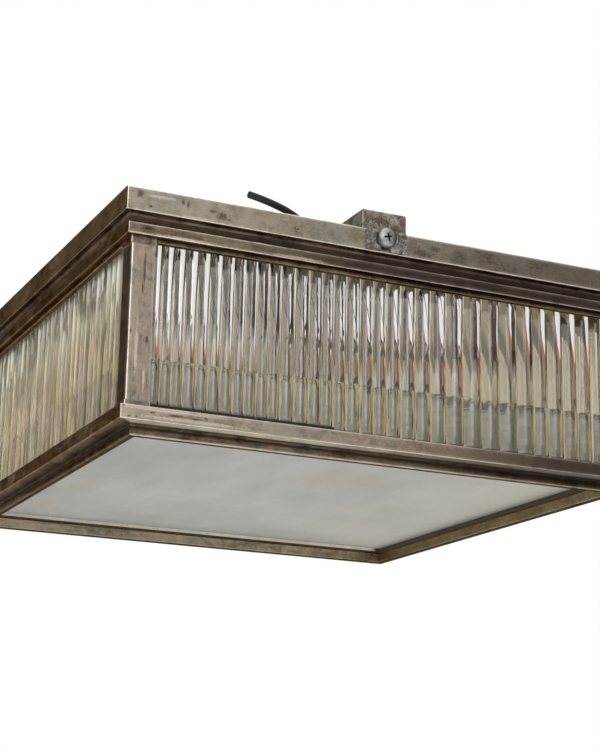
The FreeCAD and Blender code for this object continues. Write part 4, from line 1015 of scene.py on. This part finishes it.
def seat_metal():
    t = Tree("galvanised")
    n = t.noise(t.mm, 0.10, 5.0, 0.6, stretch=(1.0, 1.0, 0.4))
    f = t.noise(t.mm, 0.8, 4.0, 0.6)
    x, y, z = t.xyz(t.mm)
    front = t.math("LESS_THAN", y, -146.0)
    tip = t.math("ADD", 41.5 - TOP, t.math("MULTIPLY", front, t.math("MULTIPLY", t.math("SUBTRACT", x, 11.8), 4.2 / 340.0)))
    below = t.math("SUBTRACT", tip, z)
    base = t.mix(t.range(f, 0.4, 0.75, 0.0, 0.6), t.ramp(n, [(0.35, (0.27, 0.28, 0.275)), (0.65, (0.37, 0.38, 0.37))]), (0.20, 0.195, 0.18))
    hem = t.math("MAXIMUM", t.range(below, 0.35, 0.75, 1.0, 0.0), t.math("MULTIPLY", t.range(below, 1.5, 1.8), t.range(below, 2.1, 2.5, 1.0, 0.0)))
    base = t.mix(t.math("MULTIPLY", hem, 0.9), base, (0.05, 0.045, 0.038))
    run = t.noise(t.mm, 0.9, 3.0, 0.6, stretch=(1.0, 1.0, 0.04))
    # gold on the front leg below the ribs' tips; its lighter end is cream-white, a painted highlight
    gold_with_highlight = t.mix(t.range(run, 0.40, 0.50, 1.0, 0.0), t.ramp(n, [(0.38, (0.98, 0.80, 0.36)), (0.62, (1.0, 0.95, 0.74))]), (0.10, 0.065, 0.03))
    base = t.mix(t.math("MULTIPLY", front, t.range(below, -0.4, 0.4)), base, gold_with_highlight)
    base = t.mix(t.range(z, 12.0 - TOP, 15.0 - TOP, 0.6, 0.0), base, (0.24, 0.20, 0.13))
    t.principled(Base_Color=base, Roughness=t.range(n, 0.3, 0.7, 0.5, 0.7), Metallic=0.08, Normal=t.bump(f, 0.3, 0.0002))
    return t.mat


galvanised = seat_metal()
felt = plain("felt", (0.028, 0.022, 0.018), (0.06, 0.05, 0.042), 1.2, (0.9, 1.0), 0.0, 0.9, 0.0003)
putty = plain("putty", (0.58, 0.55, 0.46), (0.78, 0.75, 0.66), 0.10, (0.6, 0.8), 0.0, 0.6, 0.0004, specks=(0.36, 0.31, 0.23), dark_right_and_foot_shade=True)

for n, o in NODES.items():
    if o.hide_render:
        continue
    m = None
    if n == "crossbar":
        m = bar_m
    elif n == "slotted_plates":
        m = plate_m
    elif n in ("lamp_straps", "strap_spacers", "corner_brackets"):
        m = strap_m
    elif n in ("fixing_screw_front", "fixing_screw_back"):
        m = fixing
    elif n in ("bracket_screws", "strap_screws", "earth_screw", "earth_nut"):
        m = zinc.mat
    elif n in ("holder_nipples", "holder_nuts", "terminal_screws") or n.startswith("lamp_cap"):
        m = brass.mat
    elif n in ("lampholders", "holder_rings"):
        m = bakelite.mat
    elif n.startswith("lamp_glass"):
        m = opal.mat
    elif n == "terminal_block":
        m = nylon.mat
    elif n in ("lead_gland", "lamp_wires"):
        m = rubber.mat
    elif n == "rod_seats":
        m = galvanised
    elif n == "rod_keeps":
        m = seat.mat
    elif n == "rod_packing":
        m = felt.mat
    elif n == "pane_bedding":
        m = putty.mat
    if m is not None:
        o.data.materials.clear()
        o.data.materials.append(m)
lead.data.materials.append(rubber.mat)

# ---------------------------------------------------------------------------
# floor, world and lights
# ---------------------------------------------------------------------------
fl = bpy.data.meshes.new("floor")
fl.from_pydata([(-7, -7, -1.45), (7, -7, -1.45), (7, 7, -1.45), (-7, 7, -1.45)], [], [(0, 1, 2, 3)])
floor = link(bpy.data.objects.new("floor", fl))
ft = Tree("floor_paint")
_n = ft.noise(ft.co, 1.5, 4.0, 0.5)
ft.principled(Base_Color=ft.ramp(_n, [(0.3, (0.80, 0.80, 0.79)), (0.7, (0.84, 0.84, 0.83))]), Roughness=ft.range(_n, 0.3, 0.7, 0.6, 0.7))
fl.materials.append(ft.mat)

world = bpy.data.worlds.new("studio")
SCENE.world = world
world.use_nodes = True
wn, wl = world.node_tree.nodes, world.node_tree.links
wn.clear()
w_out = wn.new("ShaderNodeOutputWorld")
w_bg = wn.new("ShaderNodeBackground")
wl.new(w_bg.outputs[0], w_out.inputs[0])
w_co = wn.new("ShaderNodeTexCoord")
w_lp = wn.new("ShaderNodeLightPath")


def wmath(op, a, b=None, clamp=False):
    n = wn.new("ShaderNodeMath")
    n.operation = op
    n.use_clamp = clamp
    for i, v in enumerate((a, b)):
        if v is None:
            continue
        if isinstance(v, bpy.types.NodeSocket):
            wl.new(v, n.inputs[i])
        else:
            n.inputs[i].default_value = v
    return n.outputs[0]


def lobe(direction, sharp):
    n = wn.new("ShaderNodeVectorMath")
    n.operation = "DOT_PRODUCT"
    wl.new(w_co.outputs["Generated"], n.inputs[0])
    n.inputs[1].default_value = Vector(direction).normalized()
    return wmath("POWER", wmath("MAXIMUM", n.outputs["Value"], 0.0), sharp)


sky = wmath("ADD", 0.10, wmath("MULTIPLY", lobe((0.08, -0.95, 0.26), 7.0), 0.56))
sky = wmath("ADD", sky, wmath("MULTIPLY", lobe((0.0, 0.15, 1.0), 2.5), 0.75))
seen = wmath("MAXIMUM", w_lp.outputs["Is Camera Ray"], w_lp.outputs["Is Transmission Ray"])
mixn = wn.new("ShaderNodeMix")
mixn.data_type = "FLOAT"
wl.new(seen, mixn.inputs[0])
wl.new(sky, mixn.inputs[2])
wl.new(wmath("SUBTRACT", 1.0, wmath("MULTIPLY", w_lp.outputs["Is Transmission Ray"], 0.13)), mixn.inputs[3])
wl.new(mixn.outputs[0], w_bg.inputs["Strength"])
hor = wn.new("ShaderNodeVectorMath")
hor.operation = "MULTIPLY"
wl.new(w_co.outputs["Generated"], hor.inputs[0])
hor.inputs[1].default_value = (1.0, 1.0, 0.0)
hn = wn.new("ShaderNodeVectorMath")
hn.operation = "NORMALIZE"
wl.new(hor.outputs[0], hn.inputs[0])
el = wn.new("ShaderNodeSeparateXYZ")
wl.new(w_co.outputs["Generated"], el.inputs[0])
hl = wn.new("ShaderNodeVectorMath")
hl.operation = "LENGTH"
wl.new(hor.outputs[0], hl.inputs[0])
rise = wmath("DIVIDE", el.outputs[2], wmath("MAXIMUM", hl.outputs["Value"], 0.02))


def toward(deg, a, b):
    """1 near this compass direction (degrees from +Y towards +X), 0 beyond a degrees off it, full within b."""
    n = wn.new("ShaderNodeVectorMath")
    n.operation = "DOT_PRODUCT"
    wl.new(hn.outputs[0], n.inputs[0])
    n.inputs[1].default_value = (math.sin(math.radians(deg)), math.cos(math.radians(deg)), 0.0)
    r = wn.new("ShaderNodeMapRange")
    r.interpolation_type = "SMOOTHSTEP"
    wl.new(n.outputs["Value"], r.inputs[0])
    r.inputs[1].default_value, r.inputs[2].default_value = math.cos(math.radians(a)), math.cos(math.radians(b))
    return r.outputs[0]


def climb(lo, hi, a=0.0, b=1.0):
    r = wn.new("ShaderNodeMapRange")
    r.interpolation_type = "SMOOTHSTEP"
    wl.new(rise, r.inputs[0])
    r.inputs[1].default_value, r.inputs[2].default_value, r.inputs[3].default_value, r.inputs[4].default_value = lo, hi, a, b
    return r.outputs[0]


def blend(fac, a, b):
    n = wn.new("ShaderNodeMix")
    n.data_type = "RGBA"
    wl.new(fac, n.inputs[0])
    for i, v in ((6, a), (7, b)):
        if isinstance(v, bpy.types.NodeSocket):
            wl.new(v, n.inputs[i])
        else:
            n.inputs[i].default_value = (*v, 1.0)
    return n.outputs[2]


def facing(deg):
    n = wn.new("ShaderNodeVectorMath")
    n.operation = "DOT_PRODUCT"
    wl.new(hn.outputs[0], n.inputs[0])
    n.inputs[1].default_value = (math.sin(math.radians(deg)), math.cos(math.radians(deg)), 0.0)
    return n.outputs["Value"]


def over(value, limit, soft):
    r = wn.new("ShaderNodeMapRange")
    r.interpolation_type = "SMOOTHSTEP"
    wl.new(wmath("SUBTRACT", value, limit), r.inputs[0])
    r.inputs[1].default_value, r.inputs[2].default_value = -soft, soft
    return r.outputs[0]


# a pale window low on the left whose bright part narrows downwards, with a dark frame and warm wall beside it
room = blend(climb(0.262, 0.290), (0.50, 0.43, 0.30), (0.31, 0.262, 0.185))
room = blend(wmath("MULTIPLY", toward(30.0, 22.0, 8.0), climb(0.275, 0.30, 1.0, 0.0)), room, (0.11, 0.115, 0.11))
left = facing(-35.0)
edge = climb(0.270, 0.308, 0.97, 0.56)
frame_c = blend(climb(0.286, 0.310), (0.56, 0.19, 0.085), (0.085, 0.06, 0.045))
room = blend(over(left, wmath("SUBTRACT", edge, 0.16), 0.04), room, frame_c)
streak = wn.new("ShaderNodeTexNoise")
streak.inputs["Scale"].default_value = 9.0
streak.inputs["Detail"].default_value = 4.0
streak.inputs["Roughness"].default_value = 0.6
wl.new(hn.outputs[0], streak.inputs["Vector"])
lines = wn.new("ShaderNodeMapRange")
wl.new(streak.outputs[0], lines.inputs[0])
lines.inputs[1].default_value, lines.inputs[2].default_value, lines.inputs[3].default_value, lines.inputs[4].default_value = 0.34, 0.60, 0.0, 0.75
room = blend(lines.outputs[0], room, (0.20, 0.185, 0.15))
flecks = wn.new("ShaderNodeTexNoise")
flecks.inputs["Scale"].default_value = 26.0
flecks.inputs["Detail"].default_value = 5.0
flecks.inputs["Roughness"].default_value = 0.7
wl.new(hn.outputs[0], flecks.inputs["Vector"])
bright = wn.new("ShaderNodeMapRange")
wl.new(flecks.outputs[0], bright.inputs[0])
bright.inputs[1].default_value, bright.inputs[2].default_value, bright.inputs[3].default_value, bright.inputs[4].default_value = 0.52, 0.62, 0.0, 0.8
room = blend(wmath("MULTIPLY", bright.outputs[0], climb(0.262, 0.290, 1.0, 0.0)), room, (0.98, 0.88, 0.62))
beam = wmath("MULTIPLY", over(facing(76), 0.984, 0.012), climb(0.250, 0.292))
room = blend(wmath("MULTIPLY", beam, 0.85), room, (0.96, 0.93, 0.84))
lit = blend(climb(0.280, 0.294), (1.0, 0.66, 0.34), (1.0, 1.0, 1.06))
lit = blend(climb(0.250, 0.272), (0.95, 0.76, 0.36), lit)
room = blend(over(left, edge, 0.02), room, lit)
room = blend(climb(0.55, 0.9), room, (1.0, 1.0, 1.0))
pick = wn.new("ShaderNodeMix")
pick.data_type = "RGBA"
wl.new(w_lp.outputs["Is Transmission Ray"], pick.inputs[0])
pick.inputs[6].default_value = (1.0, 1.0, 1.0, 1.0)
wl.new(room, pick.inputs[7])
wl.new(pick.outputs[2], w_bg.inputs["Color"])


def area(name, at, to, size, power, color=(1, 1, 1)):
    d = bpy.data.lights.new(name, "AREA")
    d.shape = "RECTANGLE"
    d.size, d.size_y = size
    d.energy = power
    d.color = color
    o = link(bpy.data.objects.new(name, d))
    o.location = at
    o.rotation_mode = "QUATERNION"
    o.rotation_quaternion = (Vector(to) - Vector(at)).to_track_quat("-Z", "Y")
    return o


key = area("key", (-0.7, -2.4, 1.0), (0, 0, -0.1), (1.4, 1.2), 16, (1.0, 0.985, 0.96))
below = area("below", (0.3, -0.3, -1.38), (0, 0, -0.1), (2.0, 2.0), 15.5, (1.0, 0.99, 0.98))
below.visible_glossy = False
glow = area("floor_glow", (0, 0.6, -1.40), (0, 0.6, 0), (9.0, 9.0), 120, (1.0, 0.99, 0.97))
above = area("above", (0.05, 0.1, 1.1), (0.0, 0.0, -0.1), (1.2, 1.2), 7, (1.0, 0.99, 0.96))
side = area("side", (-2.4, -0.7, -0.1), (0, 0, -0.1), (1.5, 1.5), 42, (1.0, 0.995, 0.97))
for l in (key, below, glow, above, side):
    l.visible_camera = False
for l in (glow, above, side):
    l.visible_transmission = False
side.visible_glossy = False
glow.visible_diffuse = False

SCENE.view_settings.view_transform = "Standard"
SCENE.view_settings.look = "None"
SCENE.view_settings.exposure = 0.0
SCENE.view_settings.gamma = 1.0
